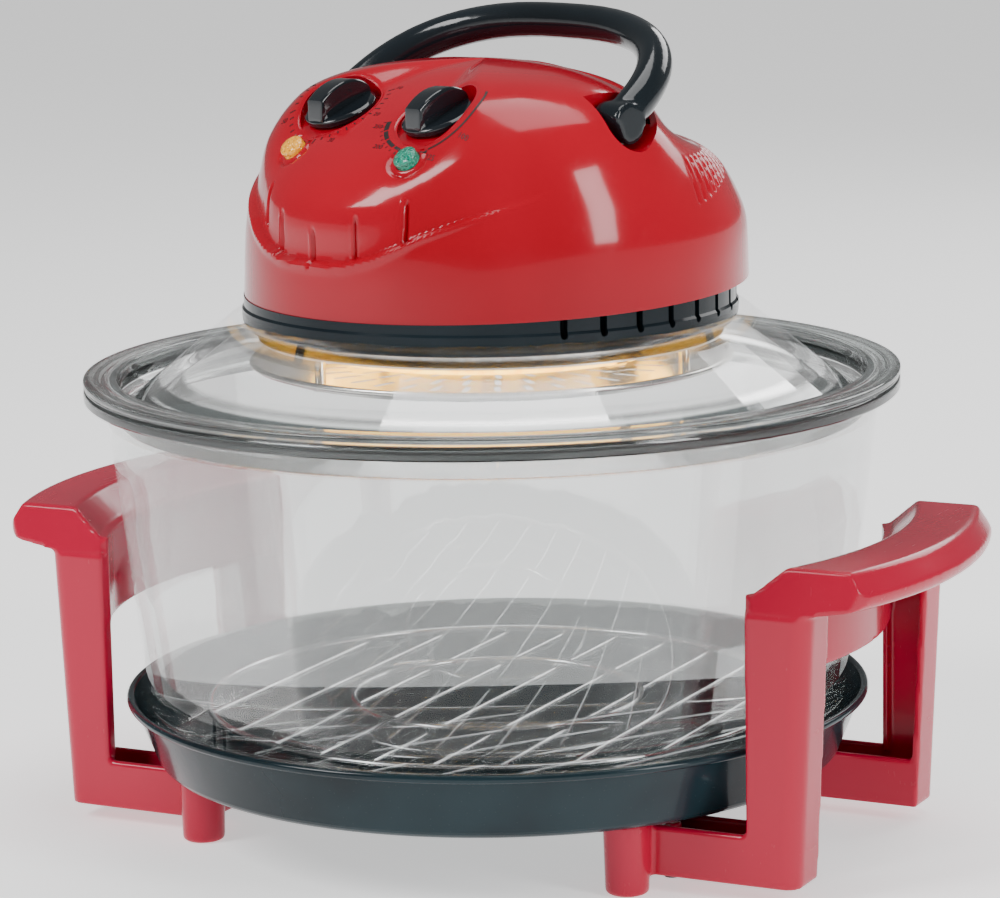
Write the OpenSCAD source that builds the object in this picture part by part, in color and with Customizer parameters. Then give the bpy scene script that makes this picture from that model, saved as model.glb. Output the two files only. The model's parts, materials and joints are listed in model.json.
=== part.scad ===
// Halogen convection oven: a glass bowl in an enamelled pan on two moulded handle frames,
// with a glass lid that carries the heater, the fan and the control head.
// Millimetres, +Z up. The origin is on the floor below the bowl's axis, and the two
// handle frames stand at +X and -X. The control head has its own front, see head_turn.

/* [Overall] */
// Outer diameter of the lid and of the bowl's rim
rim_d = 330; // [270:1:400]
// Height of the bowl from its underside to its rim
bowl_h = 157.7; // [130:0.1:200]
// Height of the pan's underside above the floor
foot_h = 29; // [24:0.5:40]
// Turn of the control head about the vertical, as seen from above
head_turn = -19; // [-180:1:180]

/* [Glass] */
// Thickness of the bowl's wall
glass_wall = 5; // [4:0.5:7]
// Outward lean of the bowl's wall, degrees from vertical
bowl_lean = 6.2; // [2:0.1:9]
// Radius of the bowl's bottom corner
bowl_corner = 16; // [10:1:24]
// Height of the rim band on the bowl
flange_h = 6.2; // [4:0.1:10]
// How far the rim band stands out of the bowl's wall
flange_w = 8; // [5:0.5:10]
// Height of the lid's rim above the bowl
lid_rim_h = 5.5; // [4:0.1:8]
// Slope of the lid's cone, degrees
cone_slope = 31; // [20:1:36]
// Thickness of the lid's glass, measured upright
lid_wall = 6; // [5:0.5:8]
// Width of the lid's seat, from the head's outline in to the hole
seat_w = 13.8; // [12:0.1:16]

/* [Pan] */
// Space between the bowl and the outside of the pan's rolled rim
pan_space = 8.5; // [6:0.1:12]
// Height of the pan from its underside to the top of its rim
pan_h = 28.5; // [20:0.5:40]
// Thickness of the enamelled sheet
pan_wall = 1.2; // [0.8:0.1:2]
// Radius of the rolled rim's section
pan_bead = 1.7; // [1.5:0.1:3]
// How much narrower the pan's outside is where its side begins
pan_flare = 11; // [4:0.5:14]

/* [Frames] */
// Half of the distance over the frames' faces, front to back
frame_y = 75; // [70:0.5:90]
// Depth of a frame's upright and beam
frame_depth = 22; // [18:0.5:26]
// How far the uprights' inner edges stand inside the radius of the bowl's mouth
post_inset = 15; // [10:0.5:18]
// Width of an upright at the bottom, sideways
post_w = 21; // [18:0.5:26]
// How much further out the upright stands where it meets the grip
post_splay = 5; // [0:0.5:8]
// Wall of the frame mouldings
frame_wall = 3; // [2.4:0.1:4]
// Rounding of the upright's outer corner
post_round = 7; // [5:0.5:9]
// Height of the beam's underside above the floor
beam_low = 6.5; // [4:0.5:10]
// Height of the beam's top above the floor
beam_top = 26.5; // [20:0.5:28.5]
// Height of the grip's top above the floor
grip_top = 131; // [120:0.5:150]
// How far the grip reaches out from the bowl's mouth
grip_reach = 44.5; // [38:0.5:52]
// Distance from the bowl's mouth to the grip's top, where its chamfer begins
grip_space = 15; // [12:0.5:20]
// Depth of the grip's lip
grip_lip = 20.5; // [16:0.5:26]
// Distance from the bowl's mouth to the outside of the apron that faces it
apron_space = 4; // [3:0.1:8]
// Height of the apron's lower edge above the floor
apron_low = 85; // [75:0.5:100]
// Radius of a foot post
foot_r = 9.3; // [8:0.1:12]
// Distance of a foot post from the edge of the pan's base, sideways
foot_inset = 46.3; // [42:0.1:52]
// How far a foot post's middle stands out of the frame's face
foot_out = 4.8; // [2:0.1:8]

/* [Head] */
// Radius of the control head's outline
cover_r = 101.8; // [98:0.1:123]
// Set-back of the head's outline from the bowl's axis
cover_back = 3; // [0:0.1:6]
// Height of the crest above the lid's seat
crest_h = 105.5; // [95:0.5:115]
// Wall of the moulded cover
cover_wall = 2.6; // [2:0.1:3.5]
// Height of the black lower housing at its front
housing_front_h = 12; // [10:0.5:16]
// Height of the black lower housing at its back
housing_back_h = 18.5; // [14:0.5:24]
// Width of a cooling slot in the lower housing
slot_w = 3; // [2:0.1:4]
// Number of cooling slots round the back of the lower housing
slot_count = 26; // [12:1:30]

/* [Carry handle] */
// Distance from the head's outline in to the middle of each of the handle's arms
handle_inset = 23.3; // [20:0.1:26]
// Reach of the handle from its pivot to the middle of its bar
handle_b = 60; // [50:1:75]
// Lean of the folded handle, degrees back from upright
handle_lean = 57; // [40:1:62]
// Thickness of the handle's bar
handle_bar = 14; // [12:0.1:17]
// Radius of the hinge pins
pin_r = 3; // [2.5:0.1:4]

/* [Controls] */
// Distance of each knob from the head's middle line
knob_x = 28; // [26:0.5:32]
// Radius of a knob's disc
knob_r = 15; // [12:0.5:18]
// Radius of a knob's shaft
shaft_r = 3; // [2:0.1:4]
// Distance of each indicator lamp from the head's middle line
lamp_x = 32.5; // [28:0.5:36]
// Radius of an indicator lens
lens_r = 5; // [4:0.1:6]

/* [Heater and fan] */
// Distance from the edge of the lid's hole in to the middle of the halogen tube
tube_inset = 19; // [16:0.5:22]
// Radius of the halogen tube
tube_r = 4.5; // [4:0.1:6]
// How much smaller the guard dish is than the head's outline
guard_inset = 3.8; // [2:0.1:8]
// Distance from the lid's seat down to the guard's rim
guard_drop = 13.5; // [12:0.5:20]
// Space between the convection fan and the halogen tube
fan_space = 14.5; // [8:0.5:24]
// Radius of the motor's shaft
motor_shaft_r = 2.5; // [2:0.1:3]

/* [Rack] */
// Space between the rack's outer ring and the bowl's bottom corner
rack_space = 8.3; // [6:0.1:24]
// Height of the low rack above the bowl's floor
rack_h = 17; // [12:0.5:30]
// Radius of the rack's wire
wire_r = 1.6; // [1.4:0.1:2.5]

/* [Fits] */
// Gap between parts that lift apart
lift_gap = 0.3; // [0.3:0.05:0.6]
// Radial clearance of a shaft or pin that turns in its bore
run_gap = 0.05; // [0.02:0.01:0.09]
// Clearance round a shaft or a lens that passes through a wall
pass_gap = 0.6; // [0.4:0.1:1]
// Gap between the turning and the fixed parts in the head
spin_gap = 0.5; // [0.4:0.1:1]

/* [Hidden] */
$fn = 96;

rim_r = rim_d / 2;

// Heights of the stack, from the floor up
bowl_z = foot_h + pan_wall + lift_gap;
bowl_floor = bowl_z + glass_wall;
bowl_top = bowl_z + bowl_h;
lid_z = bowl_top + lift_gap;
lid_top = lid_z + lid_rim_h;

// Bowl: the wall leans out from the top of its bottom corner to the flange
wall_r = rim_r - flange_w;
wall_top = bowl_top - flange_h;
lean_run = tan(bowl_lean);
function bowl_out(z) = wall_r - (wall_top - z) * lean_run;
corner_z = bowl_z + bowl_corner;
base_r = bowl_out(corner_z) - bowl_corner;
mouth_r = wall_r - glass_wall + 0.6;
rack_r = base_r - rack_space;

// Pan and frames, which follow the bowl
pan_r = bowl_out(foot_h + pan_h) + pan_space;
pan_base_r = pan_r - pan_flare;
post_in = wall_r - post_inset;
post_out = post_in + post_w;
grip_r = wall_r + grip_reach;
grip_in = wall_r + grip_space;
apron_r = wall_r + apron_space;
foot_x = pan_base_r - foot_inset;
foot_y = frame_y + foot_out;
boss_x = foot_x + 13;
boss_y = frame_y - 8.5;
boss_r = 4;

// Lid: a rim that lies on the bowl, a step that drops inside it, a cone, and a seat
step_r = mouth_r - 1.4;
valley_r = step_r - 3.3;
valley_z = lid_z - 3;
crest_r = cover_r + 1.6;
seat_r = cover_r - 0.8;
lid_hole_r = cover_r - seat_w;
cone_rise = tan(cone_slope);
function cone_z(r) = valley_z + (valley_r - r) * cone_rise;
seat_drop = 5;
seat_z = cone_z(crest_r) - seat_drop;
seat_wall = 4;

// Head: a gasket lies on the lid's seat and the lower housing lies on the gasket
gasket_t = 0.8;
housing_z = seat_z + gasket_t;
housing_floor = 2.5;
housing_wall = 2.5;
housing_r = seat_r - 0.8;
deck_z = housing_z + housing_floor;
edge_front = seat_z + housing_front_h;
edge_back = seat_z + housing_back_h;
edge_tilt = atan((edge_back - edge_front) / (2 * cover_r));
crest_z = seat_z + crest_h;
gland_r = 5.5;
gland_bore_r = 3.2;
gland_z = edge_back + 12;

// Handle hinge, knob axes and lamp axes, in the head's own axes: front is -Y
handle_a = cover_r - handle_inset;
pivot_y = -6;
pivot_z = crest_z - 21;
pocket_in = handle_a - handle_bar / 2 - 1;
strap_out = pocket_in - 2.3;
strap_t = 2.5;
// the pins' blind bores end this far from the head's middle, inside the arms' ends
pin_bore = handle_a + handle_bar / 2 - 1.5;
// how square the handle's arch is: 2 is an ellipse
handle_round = 2.6;
knob_y = 48.2 - cover_r;
knob_z = crest_z - 17;
knob_tilt = 22;
lamp_y = 25.8 - cover_r;
lamp_z = crest_z - 30.7;
lamp_tilt = 44;

// Rounded masses that the hood is stretched over: brow, front corners, shoulders and crest
brow_x = 30;
brow_y = 58.3 - cover_r;
brow_r = 48;
brow_z = crest_z - 64.7;
corner_x = 50;
corner_y = 51.8 - cover_r;
corner_r = 15;
shoulder_x = handle_a - 11.5;
shoulder_r = 13;
ridge_x = 38;
crest_mass_r = 20;
hood_back = 26;
face_slot_w = 1.2;
face_slot_h = 18;

// Screw and post circles
screw_r = 1.5;
screw_play = 0.2;
cover_screw_r = cover_r - 17.8;
cover_screw_turn = 46;
screw_head_r = 2.9;
screw_head_h = 1.5;
screw_reach = 22;
post_r = 2.2;
post_ring_r = lid_hole_r - 4.5;
post_turn = -8;

// Under the lid
reflector_t = 0.8;
clamp_z = seat_z - seat_wall - gasket_t;
reflector_r = lid_hole_r + 6;
tube_ring_r = lid_hole_r - tube_inset;
tube_gap = 44;
cap_h = 13;
fan_r = tube_ring_r - tube_r - fan_space;
guard_r = cover_r - guard_inset;
guard_z = seat_z - guard_drop;
guard_deep = 5;
guard_t = 0.8;
guard_floor = guard_z - guard_deep;
tube_z = seat_z - 7;

// Motor
stator_low = deck_z + 14;
stator_h = 16;
rotor_r = 12.5;
bush_r = 6;
bush_h = 5;
bracket_t = 1.5;
stator_top = stator_low + stator_h;
fan_top = stator_top + bush_h + 2;
column_x = 29;
column_y = 20;
shield_r = handle_a - 18.5;
shield_z = deck_z + 6;
shield_t = 0.8;
cool_fan_r = 33;
cool_fan_h = 8;
conv_fan_z = seat_z - 10;
conv_fan_h = 7;

// Cam on the handle's right eye and the rod that it presses
eye_r = 8.5;
cam_big = eye_r;
cam_drop = 3;
cam_swing = handle_lean;
cam_gap = 0.4;
rod_r = 2;
rod_top = pivot_z - cam_big - cam_gap;
switch_top = pivot_z - 28;
switch_h = 16;
bore_deep = 9;

// Controls and lenses, along their own axes, from the panel's face
plate_top = -6;
plate_t = 1.2;
body_h = 24;
body_r = 17;
body_top = plate_top - plate_t;
lens_back = -4;

// Places a child in the head's own axes
module in_head() {
  rotate([0, 0, head_turn]) children();
}

// Repeats a child on a circle about the bowl's axis
module ring_of(count, radius, turn = 0) {
  for (i = [0 : count - 1])
    rotate([0, 0, turn + i * 360 / count])
      translate([0, -radius, 0])
        children();
}

// A tube section, and a straight tube
module tube(h, r_out, r_in) {
  difference() {
    cylinder(h = h, r = r_out);
    translate([0, 0, -1]) cylinder(h = h + 2, r = r_in);
  }
}

// Points of an arc from angle a to angle b, for outlines that have a round corner
function arc(cx, cy, r, a, b, n = 8) =
  [for (i = [0 : n]) [cx + r * cos(a + (b - a) * i / n), cy + r * sin(a + (b - a) * i / n)]];

// ---------- Handle frames ----------

// Outline of the grip seen from above, with its two outer corners rounded into the arc
module grip_plan() {
  round_r = 14;
  cy = frame_y - round_r;
  cx = sqrt(pow(grip_r - round_r, 2) - cy * cy);
  a = atan2(cy, cx);
  intersection() {
    circle(r = grip_r);
    polygon([[0, 0], [grip_r * 1.2 * cos(a), -grip_r * 1.2 * sin(a)],
      [grip_r * 1.2 * cos(a), grip_r * 1.2 * sin(a)]]);
  }
  for (s = [-1, 1]) translate([cx, s * cy]) circle(r = round_r);
  polygon([[0, -frame_y], [cx, -frame_y], [cx, frame_y], [0, frame_y]]);
}

// Section of the grip: a leaning outer face, a rounded lip and the chamfer over the bowl
module grip_section() {
  low = grip_top - grip_lip;
  polygon(concat(
    [[apron_r, low], [apron_r, grip_top - 11], [grip_in, grip_top]],
    arc(grip_r - 7, grip_top - 2.4, 2.4, 90, 20, 5),
    arc(grip_r - 5.4, grip_top - 9.6, 5.4, 10, -80, 7),
    [[post_out + post_splay, low]]
  ));
}

module grip() {
  chamfer_low = grip_top - grip_lip;
  face_in = 5;
  intersection() {
    rotate_extrude($fn = 180) grip_section();
    translate([0, 0, chamfer_low - 1]) linear_extrude(grip_lip + 2) grip_plan();
    rotate([90, 0, 90]) linear_extrude(grip_r + 1)
      polygon([[-frame_y, 0], [-frame_y, chamfer_low], [-frame_y + face_in, grip_top],
        [frame_y - face_in, grip_top], [frame_y, chamfer_low], [frame_y, 0]]);
  }
}

// The apron hangs from the grip between the two uprights and follows the bowl
module apron() {
  half = frame_y - frame_wall;
  intersection() {
    translate([0, 0, apron_low])
      tube(grip_top - 11 - apron_low, apron_r, apron_r - frame_wall);
    translate([foot_x, -half, 0]) cube([grip_r, 2 * half, grip_top]);
  }
}

// One upright with its beam, drawn at the front (-Y): open channels with a rounded outer corner
module upright() {
  top = grip_top - grip_lip;
  lean = atan(post_splay / (top - beam_low));
  // front wall of the upright and of the beam, in one piece
  translate([0, -frame_y + frame_wall, 0]) rotate([90, 0, 0]) linear_extrude(frame_wall)
    polygon([[foot_x, beam_low], [post_out - post_round, beam_low],
      [post_out + post_splay - post_round, top], [post_out + post_splay - post_round, top + 2],
      [post_in, top + 2], [post_in, beam_top], [foot_x, beam_top]]);
  // rounded corner and outer wall, which lean outwards a little
  intersection() {
    translate([post_out, 0, beam_low]) rotate([0, lean, 0]) {
      translate([-post_round, -frame_y + post_round, -2]) intersection() {
        tube(top - beam_low + 6, post_round, post_round - frame_wall);
        translate([-0.3, -post_round, 0]) cube([post_round + 1, post_round + 0.3, 200]);
      }
      translate([-frame_wall, -frame_y + post_round, -2])
        cube([frame_wall, frame_depth - post_round, top - beam_low + 6]);
    }
    translate([foot_x, -frame_y, beam_low]) cube([grip_r, frame_y, top + 1.5 - beam_low]);
  }
  // the narrow inner return of the upright
  translate([post_in, -frame_y, beam_top - 2]) cube([2.5, 6, top - beam_top + 4]);
  // the beam's floor, its back wall and its end wall
  translate([foot_x, -frame_y + 1, beam_low])
    cube([post_out - post_round - foot_x + 1, frame_depth - 1, frame_wall]);
  translate([foot_x, -frame_y + frame_depth - frame_wall, beam_low])
    cube([post_out - 1 - foot_x, frame_wall, beam_top - beam_low]);
  translate([foot_x, -frame_y + 1, beam_low])
    cube([frame_wall, frame_depth - 1, beam_top - beam_low]);
}

// A foot post, slightly narrower at the floor, with its rounded lower edge
module foot_post() {
  low_r = foot_r - 0.7;
  rotate_extrude()
    polygon(concat([[0, 0]], arc(low_r - 1.5, 1.5, 1.5, -90, 0, 5), [[foot_r, foot_h], [0, foot_h]]));
}

// A whole frame at +X
module frame_body() {
  difference() {
    union() {
      grip();
      apron();
      for (m = [0, 1]) mirror([0, m, 0]) {
        upright();
        translate([foot_x, -foot_y, 0]) foot_post();
        translate([boss_x, -boss_y, beam_low]) cylinder(h = beam_top - beam_low, r = boss_r);
      }
    }
    for (m = [0, 1]) mirror([0, m, 0]) {
      translate([boss_x, -boss_y, -1]) cylinder(h = foot_h + 2, r = screw_r + screw_play);
      // slot in the foot's top that clears the pan's seam
      translate([foot_x + 3, -foot_y - foot_r - 1, foot_h - 6]) cube([1.6, 4, 7]);
    }
  }
}

module right_frame() {
  color("crimson") frame_body();
}

module left_frame() {
  color("crimson") mirror([1, 0, 0]) frame_body();
}

// ---------- Pan ----------

// Black enamelled dish with a rolled rim
module base_pan() {
  corner = 6;
  rim_x = pan_r - pan_bead;
  rim_z = foot_h + pan_h - pan_bead;
  side_x = rim_x - 0.5;
  color([0.05, 0.08, 0.1]) rotate_extrude($fn = 180) {
    polygon(concat(
      [[0, foot_h]],
      arc(pan_base_r - corner, foot_h + corner, corner, -90, -15, 6),
      [[side_x, rim_z], [side_x - pan_wall, rim_z]],
      arc(pan_base_r - corner, foot_h + corner, corner - pan_wall, -15, -90, 6),
      [[0, foot_h + pan_wall]]
    ));
    translate([rim_x, rim_z]) circle(r = pan_bead, $fn = 24);
  }
}

// Weld nuts under the pan, one above each boss of the frames
module pan_nuts() {
  color("dimgray") for (sx = [-1, 1], sy = [-1, 1])
    translate([sx * boss_x, sy * boss_y, beam_top]) difference() {
      cylinder(h = foot_h - beam_top, r = 3.6, $fn = 6);
      translate([0, 0, -1]) cylinder(h = foot_h, r = screw_r);
    }
}

// Screws that hold the frames to the pan's nuts, heads under the beams
module frame_screws() {
  head_h = 2;
  color("black") for (sx = [-1, 1], sy = [-1, 1])
    translate([sx * boss_x, sy * boss_y, beam_low]) {
      translate([0, 0, -head_h]) cylinder(h = head_h, r = 3);
      cylinder(h = foot_h - beam_low - 0.2, r = screw_r);
    }
}

// ---------- Bowl and rack ----------

// Pressed glass bowl with a leaning wall and an outward rim
module glass_bowl() {
  inner_corner = bowl_corner - glass_wall;
  color([0.8, 0.85, 0.85, 0.4]) rotate_extrude($fn = 180) polygon(concat(
    [[0, bowl_z]],
    arc(base_r, corner_z, bowl_corner, -90, -bowl_lean, 10),
    [[wall_r, wall_top], [rim_r - 1.5, wall_top + 0.4], [rim_r, wall_top + 1.8]],
    [[rim_r, bowl_top - 1.2], [rim_r - 1.2, bowl_top], [mouth_r + 1.2, bowl_top]],
    [[mouth_r, bowl_top - 1.2], [mouth_r, wall_top], [wall_r - glass_wall, wall_top - 5]],
    arc(base_r, corner_z, inner_corner, -bowl_lean, -90, 8),
    [[0, bowl_floor]]
  ));
}

// Chromed wire rack: two rings over cross wires, on four looped feet
module low_rack() {
  foot_z = bowl_floor + lift_gap + wire_r;
  ring_z = bowl_floor + lift_gap + rack_h - wire_r;
  inner_ring = rack_r * 0.5;
  pitch = rack_r * 0.205;
  thin_r = wire_r * 0.75;
  foot_half = 8;
  foot_turn = asin(foot_half / rack_r);
  color("silver") {
    for (r = [rack_r, inner_ring])
      translate([0, 0, ring_z]) rotate_extrude($fn = 90) translate([r, 0]) circle(r = wire_r, $fn = 24);
    // cross wires run from rim to rim, welded under the rings
    for (i = [-4 : 4]) {
      reach = sqrt(pow(rack_r, 2) - pow(i * pitch, 2));
      translate([i * pitch, -reach, ring_z - wire_r - thin_r / 2]) rotate([-90, 0, 0])
        cylinder(h = 2 * reach, r = thin_r, $fn = 24);
    }
    // each foot is a U of wire under the outer ring
    for (turn = [45 : 90 : 315]) {
      for (s = [-1, 1]) rotate([0, 0, turn + s * foot_turn]) translate([rack_r, 0, foot_z])
        cylinder(h = ring_z - foot_z, r = thin_r, $fn = 24);
      rotate([0, 0, turn]) translate([rack_r * cos(foot_turn), -foot_half - wire_r, foot_z])
        rotate([-90, 0, 0]) cylinder(h = 2 * (foot_half + wire_r), r = wire_r, $fn = 24);
    }
  }
}

// ---------- Lid ----------

// Pressed glass lid: a rim on the bowl, a step inside it, a cone and a seat for the head
module glass_lid() {
  low_z = valley_z - lid_wall;
  under_in = crest_r + 1.6;
  color([0.8, 0.85, 0.85, 0.4]) rotate_extrude($fn = 180) polygon(concat(
    [[rim_r, lid_z]],
    arc(rim_r - 2.4, lid_top - 2.4, 2.4, 0, 90, 5),
    arc(step_r + 5.4, lid_top - 2, 2, 90, 150, 4),
    [[valley_r + 2, valley_z + 0.6], [valley_r, valley_z]],
    [[crest_r, cone_z(crest_r)], [seat_r + 0.6, cone_z(crest_r) - 0.2]],
    [[seat_r, seat_z + 3.6], [seat_r, seat_z], [lid_hole_r, seat_z]],
    [[lid_hole_r, seat_z - seat_wall], [seat_r, seat_z - seat_wall]],
    [[under_in, cone_z(under_in) - lid_wall], [valley_r, low_z]],
    [[step_r - 1.4, low_z - 0.2], [step_r, low_z + 1.6], [step_r, lid_z]]
  ));
}

// Flat silicone ring between the lid's seat and the lower housing
module seat_gasket() {
  color("darkslategray") translate([0, 0, seat_z]) tube(gasket_t, housing_r - 2, lid_hole_r + 1);
}

// Flat silicone ring between the lid's seat and the reflector's flange
module clamp_gasket() {
  color("darkslategray") translate([0, 0, clamp_z]) tube(gasket_t, reflector_r, lid_hole_r + 1);
}

// ---------- Head: housing and cover ----------

// Half-space under the sloping joint between housing and cover
module below_edge(lift = 0) {
  mid = (edge_front + edge_back) / 2 + lift;
  translate([0, cover_back, mid]) rotate([edge_tilt, 0, 0])
    translate([-rim_r, -rim_r, -rim_r]) cube([rim_d, rim_d, rim_r]);
}

// Outline of one cooling slot, upright with round ends, through the housing's wall
module slot_cut() {
  h = 7;
  rotate([90, 0, 0]) linear_extrude(housing_wall * 4, center = true) {
    square([slot_w, h], center = true);
    for (s = [-1, 1]) translate([0, s * h / 2]) circle(r = slot_w / 2);
  }
}

// Black lower housing: a floor on the lid's seat and a wall that is higher at the back
module lower_housing() {
  color([0.04, 0.06, 0.08]) in_head() difference() {
    union() {
      // floor
      translate([0, 0, housing_z]) cylinder(h = housing_floor, r = housing_r - 1);
      // outer wall with a rounded lower edge and a bead line half way up
      intersection() {
        rotate_extrude($fn = 180) polygon(concat(
          [[housing_r - 5, housing_z]],
          arc(housing_r - 3, housing_z + 3, 3, -90, 0, 6),
          [[housing_r, housing_z + 7], [housing_r - 0.8, housing_z + 8]],
          [[housing_r - 0.8, edge_back + 4], [housing_r - 5 - housing_wall, edge_back + 4]],
          [[housing_r - 5 - housing_wall, housing_z + 7], [housing_r - 5, housing_z + 2]]
        ));
        below_edge();
      }
      // spigot that centres the cover
      intersection() {
        translate([0, 0, housing_z]) tube(30, housing_r - 5.5, housing_r - 7.5);
        below_edge(3);
      }
      // pillars for the cover's screws
      ring_of(4, cover_screw_r, cover_screw_turn)
        translate([0, 0, housing_z]) cylinder(h = 8, r = 4.5);
    }
    // hollow of the wall, so that the slots open into it
    translate([0, 0, deck_z]) tube(30, housing_r - 0.8 - housing_wall, housing_r - 5.5);
    // shaft hole and the window over the fan
    translate([0, 0, housing_z - 1]) cylinder(h = housing_floor + 2, r = motor_shaft_r + 2.5);
    // counterbored holes for the cover's screws
    ring_of(4, cover_screw_r, cover_screw_turn) {
      translate([0, 0, housing_z - 1]) cylinder(h = 12, r = screw_r + screw_play);
      translate([0, 0, housing_z - 1]) cylinder(h = 1 + screw_head_h, r = screw_head_r + screw_play);
    }
    // screw holes for the guard posts
    ring_of(3, post_ring_r, post_turn)
      translate([0, 0, housing_z - 1]) cylinder(h = 12, r = screw_r + screw_play);
    // cooling slots round the sides and the back
    for (i = [0 : slot_count - 1])
      rotate([0, 0, 62 + i * 236 / (slot_count - 1)])
        translate([0, -(housing_r - 1.5), housing_z + 10.2]) slot_cut();
  }
}

// Solid outline of the cover's hood, shrunk by t on every side: a broad brow that falls to
// the lamps in front, full corners, and a crest that runs across between the handle's arms
module hood(t = 0) {
  hull() {
    translate([0, cover_back, edge_front - 8])
      cylinder(h = 30 - t, r1 = cover_r - 1.5 - t, r2 = cover_r - 0.5 - t, $fn = 72);
    translate([0, cover_back + 1, edge_front + 30])
      cylinder(h = 12 - t, r1 = cover_r - 4 - t, r2 = cover_r - 8 - t, $fn = 72);
    for (s = [-1, 1]) {
      translate([s * brow_x, brow_y, brow_z]) sphere(r = brow_r - t, $fn = 48);
      translate([s * corner_x, corner_y, crest_z - 32.7]) sphere(r = corner_r - t, $fn = 28);
      translate([s * shoulder_x, 0, crest_z - 24]) sphere(r = shoulder_r - t, $fn = 28);
      translate([s * ridge_x, 0, crest_z - 15.5]) sphere(r = shoulder_r - t, $fn = 28);
    }
    translate([0, 0, crest_z - crest_mass_r]) sphere(r = crest_mass_r - t, $fn = 32);
  }
}

// The lower dome behind the crest, shrunk by t on every side
module rear_dome(t = 0) {
  top = crest_z - 34;
  hull() {
    translate([0, cover_back, edge_front - 8])
      cylinder(h = 32 - t, r1 = cover_r - 1.5 - t, r2 = cover_r - t, $fn = 72);
    translate([0, cover_back, top - 22])
      cylinder(h = 22 - t, r1 = cover_r - 4 - t, r2 = cover_r - 24 - t, $fn = 72);
  }
}

// Outer or inner form of the cover: the hood in front of the crest's back, the dome behind it
module cover_form(t = 0) {
  intersection() {
    hood(t);
    translate([-rim_r, -rim_r, 0]) cube([rim_d, rim_r + hood_back - t, 2 * crest_z]);
  }
  rear_dome(t);
}

// A place on the control panel, square to it
module on_panel(x, y, z, tilt) {
  translate([x, y, z]) rotate([tilt, 0, 0]) children();
}

module knob_places() {
  for (s = [-1, 1]) on_panel(s * knob_x, knob_y, knob_z, knob_tilt) children();
}

module lamp_places() {
  for (s = [-1, 1]) on_panel(s * lamp_x, lamp_y, lamp_z, lamp_tilt) children();
}

// Red cover: a hollow hood with sunk knob dishes, lamp holes, handle pockets and slots
module head_cover() {
  color("firebrick") in_head() difference() {
    union() {
      difference() {
        cover_form();
        cover_form(cover_wall);
        below_edge();
      }
      // floors of the knob dishes
      intersection() {
        cover_form(0.5);
        knob_places() translate([0, 0, -6]) cylinder(h = 6, r = knob_r + 4.2, $fn = 48);
      }
      // inner walls and floors of the handle's pockets
      intersection() {
        cover_form(0.5);
        for (s = [-1, 1]) translate([s * (pocket_in + 20) - 22, pivot_y - 14, pivot_z - 20])
          cube([44, 34, 50]);
      }
      // screw bosses, which stand on the housing's pillars
      intersection() {
        cover_form(0.5);
        ring_of(4, cover_screw_r, cover_screw_turn)
          translate([0, 0, housing_z + 8]) cylinder(h = crest_h, r = 4.2, $fn = 24);
      }
    }
    // dishes that the knobs sit in, and the shaft holes
    knob_places() {
      translate([0, 0, -2.8]) cylinder(h = 30, r = knob_r + 1.8, $fn = 48);
      translate([0, 0, -20]) cylinder(h = 40, r = shaft_r + pass_gap, $fn = 24);
    }
    lamp_places() translate([0, 0, -30]) cylinder(h = 40, r = lens_r + pass_gap / 4, $fn = 32);
    // pockets that the handle's arms swing in
    for (s = [-1, 1]) {
      translate([s * (pocket_in + 20), pivot_y, pivot_z]) rotate([0, 90, 0])
        cylinder(h = 40, r = eye_r + 1.6, center = true, $fn = 40);
      hull() for (a = [0, handle_lean])
        translate([s * (pocket_in + 20) - 20, pivot_y, pivot_z]) rotate([-a, 0, 0])
          translate([0, -eye_r - 1.6, 0]) cube([40, 2 * eye_r + 3.2, 60]);
    }
    // hinge pins pass through the pockets' inner walls
    translate([0, pivot_y, pivot_z]) rotate([0, 90, 0])
      cylinder(h = rim_d, r = pin_r + pass_gap / 2, center = true, $fn = 24);
    // rod of the safety switch passes through the right pocket's floor
    translate([handle_a, pivot_y, switch_top]) cylinder(h = 40, r = rod_r + 0.3, $fn = 24);
    ring_of(4, cover_screw_r, cover_screw_turn)
      translate([0, 0, housing_z]) cylinder(h = screw_reach + 1, r = screw_r, $fn = 16);
    // five upright slots in the face
    for (a = [-26, -13, 0, 13, 26])
      rotate([0, 0, a]) translate([-face_slot_w / 2, -cover_r - 5, edge_front + 29 + abs(a) / 4])
        cube([face_slot_w, 30, face_slot_h]);
    // hole for the cord's gland
    translate([0, cover_r, gland_z]) rotate([90, 0, 0])
      cylinder(h = 30, r = gland_r + pass_gap / 2, center = true, $fn = 32);
  }
}

// Screws that hold the cover to the housing
module cover_screws() {
  color("dimgray") in_head() ring_of(4, cover_screw_r, cover_screw_turn)
    translate([0, 0, housing_z]) {
      cylinder(h = screw_head_h, r = screw_head_r);
      cylinder(h = screw_reach, r = screw_r - 0.05);
    }
}

// ---------- Under the lid: reflector, guard and heater ----------

// Bright dish that fills the lid's hole and clamps the glass from below
module reflector() {
  flange_z = clamp_z - reflector_t;
  wall_out = lid_hole_r - 0.5;
  top = housing_z;
  color("gainsboro") in_head() difference() {
    rotate_extrude($fn = 180) polygon([
      [reflector_r, flange_z], [reflector_r, clamp_z], [wall_out, clamp_z], [wall_out, top],
      [motor_shaft_r + 2.5, top], [motor_shaft_r + 2.5, top - reflector_t],
      [wall_out - reflector_t, top - reflector_t], [wall_out - reflector_t, flange_z]
    ]);
    ring_of(3, post_ring_r, post_turn)
      translate([0, 0, top - 2]) cylinder(h = 4, r = screw_r + screw_play);
  }
}

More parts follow.
